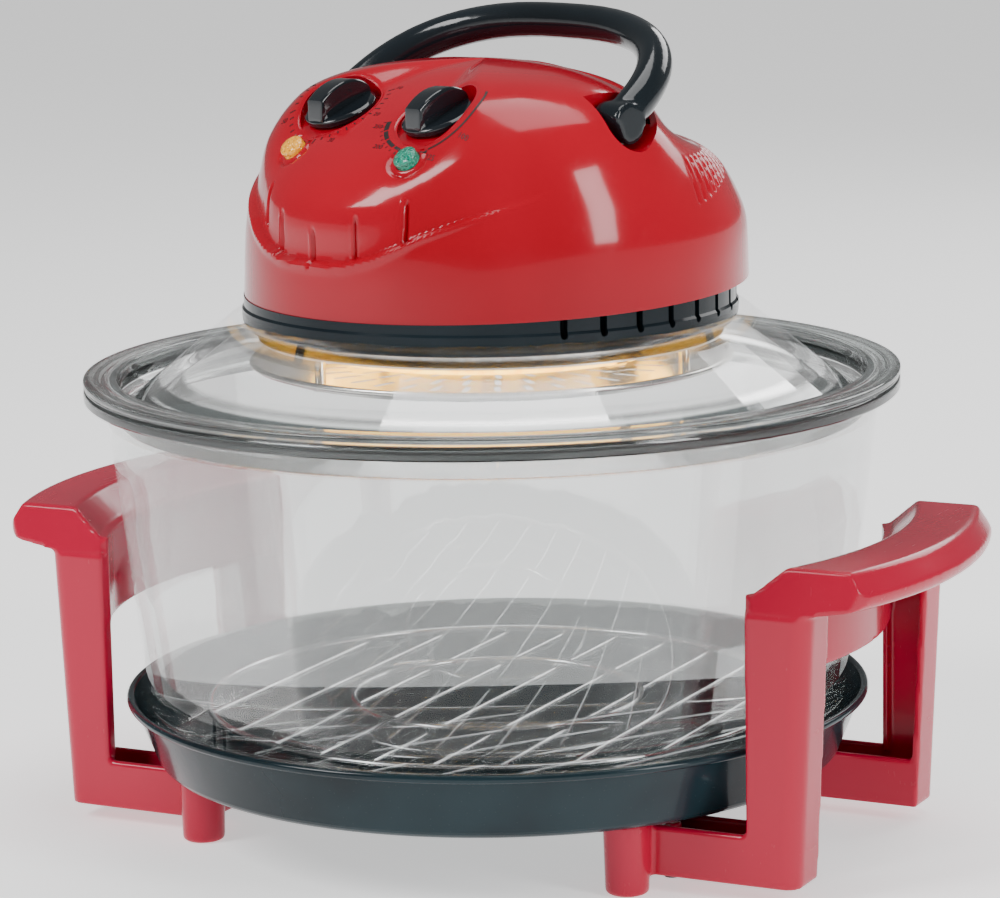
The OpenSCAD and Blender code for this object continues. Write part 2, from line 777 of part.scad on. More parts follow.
// Three steel posts that carry the guard, each with a stud through the housing's floor
module guard_posts() {
  low = guard_floor + guard_t;
  top = housing_z - reflector_t;
  color("silver") in_head() ring_of(3, post_ring_r, post_turn) difference() {
    union() {
      translate([0, 0, low]) cylinder(h = top - low, r = post_r);
      translate([0, 0, top]) cylinder(h = deck_z - top + 3.5, r = screw_r);
    }
    translate([0, 0, low - 1]) cylinder(h = 7, r = screw_r - 0.3);
  }
}

// Nuts on the guard posts' studs
module post_nuts() {
  color("silver") in_head() ring_of(3, post_ring_r, post_turn)
    translate([0, 0, deck_z]) difference() {
      cylinder(h = 2.4, r = 3, $fn = 6);
      translate([0, 0, -1]) cylinder(h = 5, r = screw_r);
    }
}

// Rings of slots in the guard's floor, as an outline
module guard_slots() {
  rows = [[20, 10], [35, 18], [50, 26], [65, 34]];
  long = 5;
  for (row = rows, i = [0 : row[1] - 1])
    rotate(i * 360 / row[1]) translate([row[0], 0]) {
      square([2 * long, 2.6], center = true);
      for (s = [-1, 1]) translate([s * long, 0]) circle(r = 1.3, $fn = 16);
    }
}

// Slotted guard dish with an upturned, rolled rim
module guard_dish() {
  floor_r = guard_r - 9;
  color("silver") in_head() {
    translate([0, 0, guard_floor]) linear_extrude(guard_t) difference() {
      circle(r = floor_r);
      guard_slots();
      for (i = [0 : 2]) rotate(post_turn + i * 120) translate([0, -post_ring_r]) circle(r = screw_r);
    }
    rotate_extrude($fn = 180) {
      polygon([[floor_r - 0.5, guard_floor], [floor_r + 1, guard_floor],
        [guard_r - 1.6, guard_z - 2], [guard_r - 2.5, guard_z - 1.6],
        [floor_r + 0.4, guard_floor + guard_t], [floor_r - 0.5, guard_floor + guard_t]]);
      translate([guard_r - 1.3, guard_z - 1.3]) circle(r = 1.3, $fn = 20);
    }
  }
}

// Screws that hold the guard to its posts
module guard_screws() {
  color("silver") in_head() ring_of(3, post_ring_r, post_turn)
    translate([0, 0, guard_floor]) {
      translate([0, 0, -1.4]) cylinder(h = 1.4, r = 2.8);
      cylinder(h = guard_t + 4, r = screw_r - 0.3);
    }
}

// Halogen tube bent to an open ring
module halogen_ring() {
  color("orange") in_head() translate([0, 0, tube_z]) rotate([0, 0, 90 + tube_gap / 2])
    rotate_extrude(angle = 360 - tube_gap) translate([tube_ring_r, 0]) circle(r = tube_r, $fn = 32);
}

// Ceramic caps on the tube's two ends
module halogen_caps() {
  color("ivory") in_head() translate([0, 0, tube_z]) for (s = [-1, 1])
    rotate([0, 0, 90 + s * tube_gap / 2]) translate([tube_ring_r, 0, 0])
      rotate([s * 90, 0, 0]) cylinder(h = cap_h, r = tube_r + 1);
}

// Spring clips that hang the tube from the reflector
module halogen_clips() {
  ring_in = tube_r + 0.3;
  top = housing_z - reflector_t;
  color("silver") in_head() for (a = [0, 180]) rotate([0, 0, a]) translate([tube_ring_r, 0, tube_z]) {
    rotate([90, 0, 0]) translate([0, 0, -3]) tube(6, ring_in + 0.8, ring_in);
    translate([-4, -3, ring_in + 0.4]) cube([8, 6, top - tube_z - ring_in - 0.4]);
  }
}

// ---------- Motor and fans ----------

// Steel plate on three legs that keeps the heat off the motor
module heat_shield() {
  color("lightgray") in_head() {
    translate([0, 0, shield_z]) tube(shield_t, shield_r, motor_shaft_r + 5);
    ring_of(3, shield_r - 5, 60) translate([0, 0, deck_z]) cylinder(h = shield_z - deck_z + 0.1, r = 3);
  }
}

// Two plates on four columns that hold the motor's bushes
module motor_bracket() {
  edge = 3.5;
  color("lightslategray") in_head() difference() {
    union() {
      for (z = [stator_low - bracket_t, stator_top])
        translate([-column_x - edge, -column_y - edge, z])
          cube([2 * (column_x + edge), 2 * (column_y + edge), bracket_t]);
      for (sx = [-1, 1], sy = [-1, 1])
        translate([sx * column_x, sy * column_y, shield_z + shield_t])
          cylinder(h = stator_top - shield_z - shield_t + 0.5, r = 2.5);
    }
    translate([0, 0, stator_low - 10]) cylinder(h = stator_h + 20, r = bush_r);
  }
}

// Laminated stack with a bore for the rotor and a window for the coil
module motor_stator() {
  color("slategray") in_head() difference() {
    translate([-24, -16, stator_low]) cube([48, 32, stator_h]);
    translate([0, 0, stator_low - 1]) cylinder(h = stator_h + 2, r = rotor_r + spin_gap);
    translate([-24.5, 7, stator_low - 1]) cube([10.5, 4, stator_h + 2]);
  }
}

// Coil on the stack's left limb
module motor_coil() {
  wrap = 4;
  color("darkgoldenrod") in_head()
    translate([-24 - wrap, -5, stator_low + 1]) cube([wrap, 12, stator_h - 2]);
}

// Two sintered bushes that the shaft turns in
module motor_bushes() {
  color("peru") in_head() for (z = [stator_low - bush_h, stator_top])
    translate([0, 0, z]) tube(bush_h, bush_r, motor_shaft_r + run_gap);
}

// Shaft that carries the rotor and both fans
module motor_shaft() {
  low = conv_fan_z - 4.5;
  color("silver") translate([0, 0, low]) cylinder(h = fan_top + cool_fan_h + 1 - low, r = motor_shaft_r);
}

module motor_rotor() {
  color("dimgray") translate([0, 0, stator_low + spin_gap])
    tube(stator_h - 2 * spin_gap, rotor_r, motor_shaft_r);
}

// Moulded fan over the motor, with pitched blades
module cooling_fan() {
  blades = 7;
  color("black") in_head() translate([0, 0, fan_top]) difference() {
    union() {
      cylinder(h = cool_fan_h, r = 7);
      for (i = [0 : blades - 1]) rotate([0, 0, i * 360 / blades])
        intersection() {
          translate([5, 0, cool_fan_h / 2]) rotate([38, 0, 0])
            translate([0, -6, -0.6]) cube([cool_fan_r - 4, 12, 1.2]);
          translate([0, 0, 0.5]) cylinder(h = cool_fan_h - 1, r = cool_fan_r);
        }
    }
    translate([0, 0, -1]) cylinder(h = cool_fan_h + 2, r = motor_shaft_r);
  }
}

// Pressed fan under the reflector, with upright blades on a disc
module convection_fan() {
  blades = 12;
  color("silver") in_head() translate([0, 0, conv_fan_z]) difference() {
    union() {
      cylinder(h = conv_fan_h, r = 7);
      translate([0, 0, conv_fan_h - 1]) cylinder(h = 1, r = fan_r - 6);
      for (i = [0 : blades - 1]) rotate([0, 0, i * 360 / blades]) translate([16, -0.4, 0])
        rotate([0, 0, 12]) cube([fan_r - 18, 0.8, conv_fan_h]);
    }
    translate([0, 0, -1]) cylinder(h = conv_fan_h + 2, r = motor_shaft_r);
  }
}

module fan_nut() {
  color("silver") translate([0, 0, conv_fan_z - 4]) difference() {
    cylinder(h = 4, r = 5, $fn = 6);
    translate([0, 0, -1]) cylinder(h = 6, r = motor_shaft_r);
  }
}

// ---------- Controls ----------

// Steel plate under the control panel that both controls hang from
module control_bracket() {
  color("silver") in_head() on_panel(0, knob_y, knob_z, knob_tilt) difference() {
    translate([-knob_x - body_r, -13, body_top]) cube([2 * (knob_x + body_r), 26, plate_t]);
    for (s = [-1, 1]) translate([s * knob_x, 0, body_top - 1]) cylinder(h = 4, r = shaft_r + pass_gap);
  }
}

module control_body(x) {
  in_head() on_panel(x, knob_y, knob_z, knob_tilt) difference() {
    translate([0, 0, body_top - body_h]) cylinder(h = body_h, r = body_r);
    translate([0, 0, body_top - 12]) cylinder(h = 20, r = shaft_r + run_gap);
  }
}

// Spring-wound timer
module timer_body() {
  color("lightgray") control_body(-knob_x);
}

// Thermostat
module thermostat_body() {
  color("tan") control_body(knob_x);
}

// Knob: a low disc with a rounded finger bar across it and a bore for its shaft
module knob(x) {
  disc_low = -2.4;
  bar_w = 10;
  bar_top = 11;
  in_head() on_panel(x, knob_y, knob_z, knob_tilt) difference() {
    union() {
      translate([0, 0, disc_low]) cylinder(h = 3.4, r1 = knob_r, r2 = knob_r - 0.8);
      intersection() {
        translate([0, 0, bar_top - 22]) rotate([0, 90, 0])
          cylinder(h = bar_w, r = 22, center = true);
        cylinder(h = bar_top, r = knob_r - 1);
      }
    }
    translate([0, 0, disc_low - 1]) cylinder(h = 8, r = shaft_r);
  }
}

module knob_shaft(x) {
  top = 4.6;
  low = body_top - 11.5;
  in_head() on_panel(x, knob_y, knob_z, knob_tilt)
    translate([0, 0, low]) cylinder(h = top - low, r = shaft_r);
}

module timer_knob() {
  color("black") knob(-knob_x);
}

module timer_shaft() {
  color("silver") knob_shaft(-knob_x);
}

module thermostat_knob() {
  color("black") knob(knob_x);
}

module thermostat_shaft() {
  color("silver") knob_shaft(knob_x);
}

// Domed lens of an indicator lamp
module lens(x) {
  rise = 1.4;
  in_head() on_panel(x, lamp_y, lamp_z, lamp_tilt) rotate_extrude()
    polygon(concat([[0, lens_back], [lens_r, lens_back]],
      [for (i = [0 : 6]) [lens_r * cos(i * 15), rise * sin(i * 15)]]));
}

module power_lens() {
  color("orange") lens(-lamp_x);
}

module heat_lens() {
  color("darkgreen") lens(lamp_x);
}

module lamp_holders() {
  color("ivory") in_head() lamp_places()
    translate([0, 0, lens_back - 8]) cylinder(h = 8, r = lens_r - 0.8);
}

// Terminal block on the housing's floor, behind the motor
module terminal_block() {
  ways = 3;
  pitch = 10;
  deep = 14;
  high = 12;
  front = shield_r + 2;
  color("ivory") in_head() difference() {
    translate([-ways * pitch / 2, front, deck_z]) cube([ways * pitch, deep, high]);
    for (i = [0 : ways - 1])
      translate([(i - (ways - 1) / 2) * pitch, front + deep / 2, deck_z + high - 7])
        cylinder(h = high, r = 2.2);
  }
}

// Rubber gland at the back of the cover for the mains cord
module cord_gland() {
  back = cover_r + cover_back;
  color("black") in_head() translate([0, 0, gland_z]) rotate([-90, 0, 0]) difference() {
    union() {
      translate([0, 0, back - 8]) cylinder(h = 24, r = gland_r);
      translate([0, 0, back + 0.5]) cylinder(h = 3, r = gland_r + 2.5);
      translate([0, 0, back - 7]) cylinder(h = 2.5, r = gland_r + 2);
      translate([0, 0, back + 3]) cylinder(h = 12, r1 = gland_r + 1.2, r2 = gland_r + 0.3);
    }
    translate([0, 0, back - 9]) cylinder(h = 26, r = gland_bore_r);
  }
}

// Thermal fuse that lies on the heat shield
module thermal_fuse() {
  color("silver") in_head() translate([-44, -12, shield_z + shield_t + 2.4])
    rotate([-90, 0, 0]) cylinder(h = 22, r = 2.4);
}

// ---------- Carry handle and its safety switch ----------

// Steel straps that carry the hinge pins
module handle_brackets() {
  wide = 12;
  color("silver") in_head() for (m = [0, 1]) mirror([m, 0, 0]) difference() {
    union() {
      translate([strap_out - strap_t, pivot_y - wide / 2, deck_z])
        cube([strap_t, wide, pivot_z + pin_r + 1.6 - deck_z]);
      translate([strap_out - 14, pivot_y - wide / 2, deck_z]) cube([13, wide, strap_t]);
    }
    translate([strap_out - 10, pivot_y, pivot_z]) rotate([0, 90, 0]) cylinder(h = 20, r = pin_r);
  }
}

// Headed hinge pins, pushed in from the straps' inner sides
module handle_pins() {
  head_h = 1.8;
  head_r = pin_r + 1.4;
  strap_in = strap_out - strap_t;
  color("silver") in_head() for (m = [0, 1]) mirror([m, 0, 0])
    translate([0, pivot_y, pivot_z]) rotate([0, 90, 0]) {
      translate([0, 0, strap_in]) cylinder(h = pin_bore - spin_gap - strap_in, r = pin_r);
      translate([0, 0, strap_in - head_h]) cylinder(h = head_h, r = head_r);
    }
}

// Middle line of the handle in its own plane: a rounded arch, x across and u up
function arch(t) = [
  handle_a * sign(cos(t)) * pow(abs(cos(t)), 2 / handle_round),
  handle_b * pow(abs(sin(t)), 2 / handle_round)];
function arch_dir(t) = let (d = arch(min(t + 1.5, 180)) - arch(max(t - 1.5, 0))) d / norm(d);

// The bar as a swept oval
module handle_sweep() {
  rings = 44;
  sides = 16;
  half_in = handle_bar / 2;
  half_out = handle_bar / 2 + 0.8;
  points = [for (i = [0 : rings]) let (t = i * 180 / rings, p = arch(t), d = arch_dir(t))
    for (j = [0 : sides - 1]) let (a = j * 360 / sides)
      [p[0] + half_in * cos(a) * d[1], half_out * sin(a), p[1] - half_in * cos(a) * d[0]]];
  walls = [for (i = [0 : rings - 1], j = [0 : sides - 1]) let (k = (j + 1) % sides)
    [i * sides + j, (i + 1) * sides + j, (i + 1) * sides + k, i * sides + k]];
  ends = [[for (j = [0 : sides - 1]) j], [for (j = [sides - 1 : -1 : 0]) rings * sides + j]];
  polyhedron(points, concat(walls, ends), convexity = 6);
}

// Radius of the cam at angle a, measured from straight down towards the front
function cam_r(a) = cam_big - cam_drop * min(max(a, 0), cam_swing) / cam_swing
  + cam_drop * min(max(a - cam_swing - 22, 0), 30) / 30;

// Carry handle: arch, two eyes, and a cam on the right eye that works the safety switch
module carry_handle() {
  color([0.05, 0.07, 0.09]) in_head() translate([0, pivot_y, pivot_z]) difference() {
    union() {
      rotate([-handle_lean, 0, 0]) handle_sweep();
      translate([-handle_a, 0, 0]) rotate([0, 90, 0]) cylinder(h = handle_bar, r = eye_r, center = true);
      translate([handle_a - handle_bar / 2, 0, 0]) rotate([90, 0, 90]) linear_extrude(handle_bar)
        polygon([for (a = [-180 : 6 : 174]) [-cam_r(a) * sin(a), -cam_r(a) * cos(a)]]);
    }
    // blind bores for the hinge pins
    rotate([0, 90, 0]) cylinder(h = 2 * pin_bore, r = pin_r + run_gap, center = true);
  }
}

// Microswitch that cuts the power when the handle is raised
module safety_switch() {
  color("dimgray") in_head() difference() {
    translate([strap_out, pivot_y - 8, switch_top - switch_h]) cube([handle_a + 6 - strap_out, 16, switch_h]);
    translate([handle_a, pivot_y, switch_top - bore_deep]) cylinder(h = 20, r = rod_r - 0.5 + run_gap);
  }
}

// Push rod between the handle's cam and the microswitch
module switch_plunger() {
  r = rod_r - 0.5;
  low = switch_top - bore_deep + 1;
  color("white") in_head() translate([handle_a, pivot_y, 0]) {
    translate([0, 0, low]) cylinder(h = rod_top - r - low, r = r);
    translate([0, 0, rod_top - r]) sphere(r = r);
  }
}

left_frame();
right_frame();
base_pan();
pan_nuts();
frame_screws();
glass_bowl();
low_rack();
glass_lid();
seat_gasket();
clamp_gasket();
lower_housing();
head_cover();
cover_screws();
reflector();
guard_posts();
post_nuts();
guard_dish();
guard_screws();
halogen_ring();
halogen_caps();
halogen_clips();
heat_shield();
motor_bracket();
motor_stator();
motor_coil();
motor_bushes();
control_bracket();
timer_body();
thermostat_body();
power_lens();
heat_lens();
lamp_holders();
terminal_block();
cord_gland();
thermal_fuse();
safety_switch();
handle_brackets();
handle_pins();
carry_handle();
timer_knob();
timer_shaft();
thermostat_knob();
thermostat_shaft();
motor_shaft();
motor_rotor();
cooling_fan();
convection_fan();
fan_nut();
switch_plunger();
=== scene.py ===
import bpy
import bmesh
import json
import math
import numpy as np
from mathutils import Matrix, Vector
from mathutils.bvhtree import BVHTree


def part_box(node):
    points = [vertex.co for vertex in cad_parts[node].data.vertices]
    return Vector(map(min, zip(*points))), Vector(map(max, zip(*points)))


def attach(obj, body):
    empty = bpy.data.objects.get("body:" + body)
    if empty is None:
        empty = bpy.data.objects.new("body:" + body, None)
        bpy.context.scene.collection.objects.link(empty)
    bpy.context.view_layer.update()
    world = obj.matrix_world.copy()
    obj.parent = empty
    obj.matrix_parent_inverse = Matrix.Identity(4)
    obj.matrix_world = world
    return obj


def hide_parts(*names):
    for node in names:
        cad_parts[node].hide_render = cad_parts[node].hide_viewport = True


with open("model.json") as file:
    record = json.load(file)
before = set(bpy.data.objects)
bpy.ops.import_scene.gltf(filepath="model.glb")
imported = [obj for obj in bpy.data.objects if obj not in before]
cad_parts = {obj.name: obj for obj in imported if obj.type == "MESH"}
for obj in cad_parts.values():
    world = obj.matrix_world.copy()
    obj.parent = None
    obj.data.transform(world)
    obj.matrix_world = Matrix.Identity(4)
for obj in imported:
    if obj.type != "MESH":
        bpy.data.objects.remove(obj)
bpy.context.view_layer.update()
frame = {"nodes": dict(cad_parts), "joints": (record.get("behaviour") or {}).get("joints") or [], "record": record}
print("frame loaded:", len(frame["nodes"]), "nodes")

mm = 0.001


def jointOf(name):
    return next(j for j in frame["joints"] if j["name"] == name)


tiltAxis = jointOf("handle_tilt")["axis"]
headTurn = math.atan2(tiltAxis[1], tiltAxis[0])
toRow = Matrix.Rotation(headTurn, 4, "Z")
toHead = toRow.inverted()
hingePoint = toHead @ Vector(jointOf("handle_tilt")["pos_m"])
knobPoints = {
    "timer": toHead @ Vector(jointOf("timer_turn")["pos_m"]),
    "thermostat": toHead @ Vector(jointOf("thermostat_turn")["pos_m"]),
}
knobAxis = (toHead.to_3x3() @ Vector(jointOf("timer_turn")["axis"])).normalized()


def low(node):
    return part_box(node)[0]


def high(node):
    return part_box(node)[1]


seatZ = low("seat_gasket").z
rimR = high("glass_lid").x
lidZ = low("glass_lid").z


class Wire:
    # one output of a node; sums and products of wires add Math nodes
    def __init__(self, shop, socket):
        self.shop = shop
        self.socket = socket

    def __add__(self, other):
        return self.shop.maths("ADD", self, other)

    def __radd__(self, other):
        return self.shop.maths("ADD", other, self)

    def __sub__(self, other):
        return self.shop.maths("SUBTRACT", self, other)

    def __rsub__(self, other):
        return self.shop.maths("SUBTRACT", other, self)

    def __mul__(self, other):
        return self.shop.maths("MULTIPLY", self, other)

    def __rmul__(self, other):
        return self.shop.maths("MULTIPLY", other, self)

    def __truediv__(self, other):
        return self.shop.maths("DIVIDE", self, other)

    def __rtruediv__(self, other):
        return self.shop.maths("DIVIDE", other, self)

    def __pow__(self, other):
        return self.shop.maths("POWER", self, other)


class Shop:
    # the node tree of one material
    def __init__(self, name):
        self.material = bpy.data.materials.new(name)
        self.material.use_nodes = True
        self.tree = self.material.node_tree
        self.tree.nodes.clear()
        self.out = self.tree.nodes.new("ShaderNodeOutputMaterial")

    def node(self, kind, settings=None, sockets=None, give=0):
        made = self.tree.nodes.new(kind)
        for key, value in (settings or {}).items():
            setattr(made, key, value)
        for key, value in (sockets or {}).items():
            target = made.inputs[key]
            if isinstance(value, Wire):
                self.tree.links.new(value.socket, target)
            elif isinstance(value, tuple) and len(value) == 3 and target.type == "RGBA":
                target.default_value = (*value, 1)
            else:
                target.default_value = value
        return Wire(self, made.outputs[give])

    def maths(self, operation, a, b):
        return self.node("ShaderNodeMath", {"operation": operation}, {0: a, 1: b})

    def place(self):
        return self.node("ShaderNodeTexCoord", give="Object")

    def stretched(self, x, y, z):
        return self.node("ShaderNodeMapping", {}, {"Vector": self.place(), "Scale": (x, y, z)})

    def noise(self, scale, detail=3.0, rough=0.5, at=None):
        return self.node("ShaderNodeTexNoise", {}, {
            "Vector": at or self.place(), "Scale": scale, "Detail": detail, "Roughness": rough})

    def cells(self, scale):
        # distance from the middle of each random cell
        return self.node("ShaderNodeTexVoronoi", {"feature": "F1"}, {
            "Vector": self.place(), "Scale": scale}, "Distance")

    def reach(self, value, low, high):
        # 0 at low, 1 at high, eased in between
        return self.node("ShaderNodeMapRange", {"interpolation_type": "SMOOTHSTEP"}, {
            "Value": value, "From Min": low, "From Max": high})

    def blend(self, factor, first, second):
        return self.node("ShaderNodeMix", {"data_type": "RGBA"}, {
            "Factor": factor, 6: first, 7: second}, give=2)

    def bump(self, height, strength, distance=0.0005):
        return self.node("ShaderNodeBump", {}, {
            "Height": height, "Strength": strength, "Distance": distance})

    def edges(self):
        # 1 on convex edges, 0.5 on flats, 0 in hollows
        return self.node("ShaderNodeNewGeometry", give="Pointiness")

    def finish(self, sockets):
        shader = self.node("ShaderNodeBsdfPrincipled", {}, sockets, give="BSDF")
        self.tree.links.new(shader.socket, self.out.inputs["Surface"])
        return self.material


def glossyPlastic(name, settings):
    # moulded gloss: faint flow lines, orange peel, handling marks, and hollows painted toward the deep tone:
    # painted shade on the reds, lighter dirt on the blacks
    shop = Shop(name)
    colour, deep = settings["colour"], settings["deep"]
    flow = shop.noise(settings["flowScale"], 2.0, 0.5, shop.stretched(1, 1, 0.35))
    peel = shop.noise(settings["peelScale"], 2.0)
    rub = shop.noise(38, 5.0, 0.65)
    hair = shop.noise(900, 1.0, 0.4, shop.stretched(1, 0.06, 0.3))
    tone = shop.blend(shop.reach(flow, 0.3, 0.7), colour, deep)
    # hollows toward the deep tone: painted shade where it is darker, dirt where it is lighter
    dirtAndShade = shop.reach(shop.edges(), 0.5, 0.42)
    tone = shop.blend(dirtAndShade * 0.35, tone, deep)
    marks = shop.reach(rub, 0.48, 0.72)
    gloss = settings["gloss"] + marks * 0.07 + shop.reach(hair, 0.62, 0.75) * 0.06
    return shop.finish({
        "Base Color": tone, "Roughness": gloss, "IOR": 1.5, "Specular IOR Level": settings["shine"],
        "Coat Weight": settings["coat"], "Coat Roughness": 0.06,
        "Normal": shop.bump(peel * 0.7 + rub * 0.3, settings["peel"], 0.0004)})


def sheetMetal(name, colour, settings):
    # rolled or plated metal with grain, cloudy tarnish and bright worn edges
    shop = Shop(name)
    grain = shop.noise(settings["grainScale"], 3.0, 0.6, shop.stretched(*settings["grain"]))
    cloud = shop.noise(60, 4.0, 0.6)
    speck = shop.cells(700)
    shade = tuple(c * 0.72 for c in colour)
    tone = shop.blend(shop.reach(cloud, 0.35, 0.7), colour, shade)
    tone = shop.blend(shop.reach(shop.edges(), 0.52, 0.6), tone, tuple(min(1, c * 1.2) for c in colour))
    gloss = settings["gloss"] + grain * 0.14 + shop.reach(speck, 0.1, 0.0) * 0.15
    return shop.finish({
        "Base Color": tone, "Metallic": 1.0, "Roughness": gloss,
        "Normal": shop.bump(grain, settings["relief"], 0.0002)})


def enamel(name):
    # glossy black vitreous enamel with orange peel, pin holes and a blue-green cast
    shop = Shop(name)
    wave = shop.noise(90, 2.0)
    pits = shop.reach(shop.cells(420), 0.14, 0.05)
    cast = shop.noise(14, 3.0)
    tone = shop.blend(shop.reach(cast, 0.35, 0.65), (0.006, 0.013, 0.017), (0.012, 0.027, 0.034))
    # convex edges painted a lighter blue-grey: a painted edge highlight
    tone = shop.blend(shop.reach(shop.edges(), 0.53, 0.62) * 0.5, tone, (0.05, 0.07, 0.075))
    return shop.finish({
        "Base Color": tone, "Roughness": 0.12 + wave * 0.1 + pits * 0.2,
        "Specular IOR Level": 0.15, "Coat Weight": 0.2, "Coat Roughness": 0.05,
        "Normal": shop.bump(wave * 0.8 - pits * 0.5, 0.16, 0.0006)})


def rubber(name, colour):
    shop = Shop(name)
    grit = shop.noise(1400, 4.0, 0.7)
    bloom = shop.noise(50, 4.0)
    tone = shop.blend(shop.reach(bloom, 0.4, 0.7), colour, tuple(c * 1.8 + 0.01 for c in colour))
    return shop.finish({
        "Base Color": tone, "Roughness": 0.55 + grit * 0.25,
        "Normal": shop.bump(grit, 0.35, 0.0003)})


def mattePlastic(name, colour):
    # spark-eroded texture, slightly shinier where it is rubbed
    shop = Shop(name)
    grit = shop.noise(1800, 3.0, 0.6)
    cloud = shop.noise(40, 4.0)
    tone = shop.blend(shop.reach(cloud, 0.35, 0.7), colour, tuple(c * 0.8 for c in colour))
    worn = shop.reach(shop.edges(), 0.52, 0.6)
    return shop.finish({
        "Base Color": tone, "Roughness": 0.5 + grit * 0.15 - worn * 0.2,
        "Normal": shop.bump(grit, 0.3, 0.0002)})


def ceramic(name, colour):
    shop = Shop(name)
    grit = shop.noise(900, 5.0, 0.7)
    pores = shop.reach(shop.cells(600), 0.2, 0.05)
    tone = shop.blend(shop.reach(shop.noise(80, 4.0), 0.4, 0.7), colour, tuple(c * 0.82 for c in colour))
    # the pores are painted darker: painted shade in the pits
    tone = shop.blend(pores * 0.6, tone, tuple(c * 0.6 for c in colour))
    return shop.finish({
        "Base Color": tone, "Roughness": 0.62 + grit * 0.2,
        "Normal": shop.bump(grit - pores * 0.6, 0.4, 0.0003)})


def laminations(name, colour):
    # a stack of thin sheets: fine lines up the stack and a brown varnish
    shop = Shop(name)
    sheets = shop.node("ShaderNodeTexWave", {"wave_type": "BANDS", "bands_direction": "Z"}, {
        "Vector": shop.place(), "Scale": 620.0, "Distortion": 0.3, "Detail": 2.0}, "Fac")
    varnish = shop.noise(70, 4.0)
    tone = shop.blend(shop.reach(varnish, 0.4, 0.65), colour, (0.16, 0.1, 0.06))
    return shop.finish({
        "Base Color": tone, "Metallic": 0.85, "Roughness": 0.35 + varnish * 0.2,
        "Normal": shop.bump(sheets, 0.5, 0.0003)})


def woundWire(name, colour):
    shop = Shop(name)
    turns = shop.node("ShaderNodeTexWave", {"wave_type": "BANDS", "bands_direction": "Z"}, {
        "Vector": shop.place(), "Scale": 330.0, "Distortion": 0.6, "Detail": 2.0}, "Fac")
    # the bands between the turns are painted darker: painted shade in the grooves between the wires
    tone = shop.blend(turns, tuple(c * 0.35 for c in colour), colour)
    return shop.finish({
        "Base Color": tone, "Metallic": 0.7, "Roughness": 0.3 + shop.noise(200) * 0.1,
        "Normal": shop.bump(turns, 0.8, 0.0005)})


def pressedGlass(name, settings):
    # clear glass: gentle waves from the mould, smears, a few seeds, and a band of deep colour painted on the rim
    # as its reflection
    shop = Shop(name)
    wave = shop.noise(settings["waveScale"], 2.0, 0.4, shop.stretched(1, 1, 0.5))
    smear = shop.noise(22, 6.0, 0.65)
    seeds = shop.reach(shop.cells(160), 0.06, 0.02)
    up = shop.node("ShaderNodeSeparateXYZ", {}, {0: shop.place()}, "Z")
    alpha = settings["clear"]
    for bottom, top, solid in settings["bands"]:
        band = shop.reach(up, bottom - 2 * mm, bottom) * (1 - shop.reach(up, top, top + 2 * mm))
        alpha = alpha + band * (solid - settings["clear"])
    # a band of the deep colour just above the given height: a painted reflection on the rim
    paintedReflection = shop.reach(up, settings["paintedReflection"] - 1 * mm, settings["paintedReflection"])
    paintedReflection = paintedReflection * (1 - shop.reach(up, settings["paintedReflection"] + 2.6 * mm, settings["paintedReflection"] + 3.6 * mm))
    tone = shop.blend(paintedReflection, settings["tint"], settings["deep"])
    return shop.finish({
        "Base Color": tone, "Roughness": 0.015 + shop.reach(smear, 0.5, 0.8) * 0.05,
        "IOR": 1.5, "Transmission Weight": 1.0, "Alpha": alpha + seeds * 0.1,
        "Normal": shop.bump(wave, settings["wave"], 0.002)})


def lampLens(name, colour, deep, facets):
    # coloured clear plastic with a diamond grid moulded behind it
    shop = Shop(name)
    cut = shop.cells(facets)
    rim = shop.reach(cut, 0.0, 0.6)
    tone = shop.blend(rim, deep, colour)
    glow = shop.reach(shop.noise(160), 0.4, 0.7)
    return shop.finish({
        "Base Color": tone, "Roughness": 0.08 + glow * 0.08, "IOR": 1.5, "Coat Weight": 0.8,
        "Coat Roughness": 0.03, "Emission Color": tone, "Emission Strength": 0.25,
        "Normal": shop.bump(cut, 0.7, 0.001)})


def litQuartz(name):
    # a lit halogen tube: hot filament segments in a yellow-white haze
    shop = Shop(name)
    coil = shop.noise(260, 3.0, 0.6)
    tone = shop.blend(shop.reach(coil, 0.35, 0.65), (1.0, 0.42, 0.02), (1.0, 0.64, 0.1))
    return shop.finish({
        "Base Color": (1.0, 0.8, 0.5), "Roughness": 0.15 + coil * 0.1, "Emission Color": tone,
        "Emission Strength": 6.0, "Normal": shop.bump(coil, 0.2, 0.0004)})


def ink(name, colour):
    # screen-printed ink: slightly raised, thin in places
    shop = Shop(name)
    thin = shop.noise(700, 4.0, 0.6)
    tone = shop.blend(shop.reach(thin, 0.62, 0.8) * 0.6, colour, (0.2, 0.01, 0.012))
    return shop.finish({
        "Base Color": tone, "Roughness": 0.42 + thin * 0.15, "Normal": shop.bump(thin, 0.15, 0.0001)})


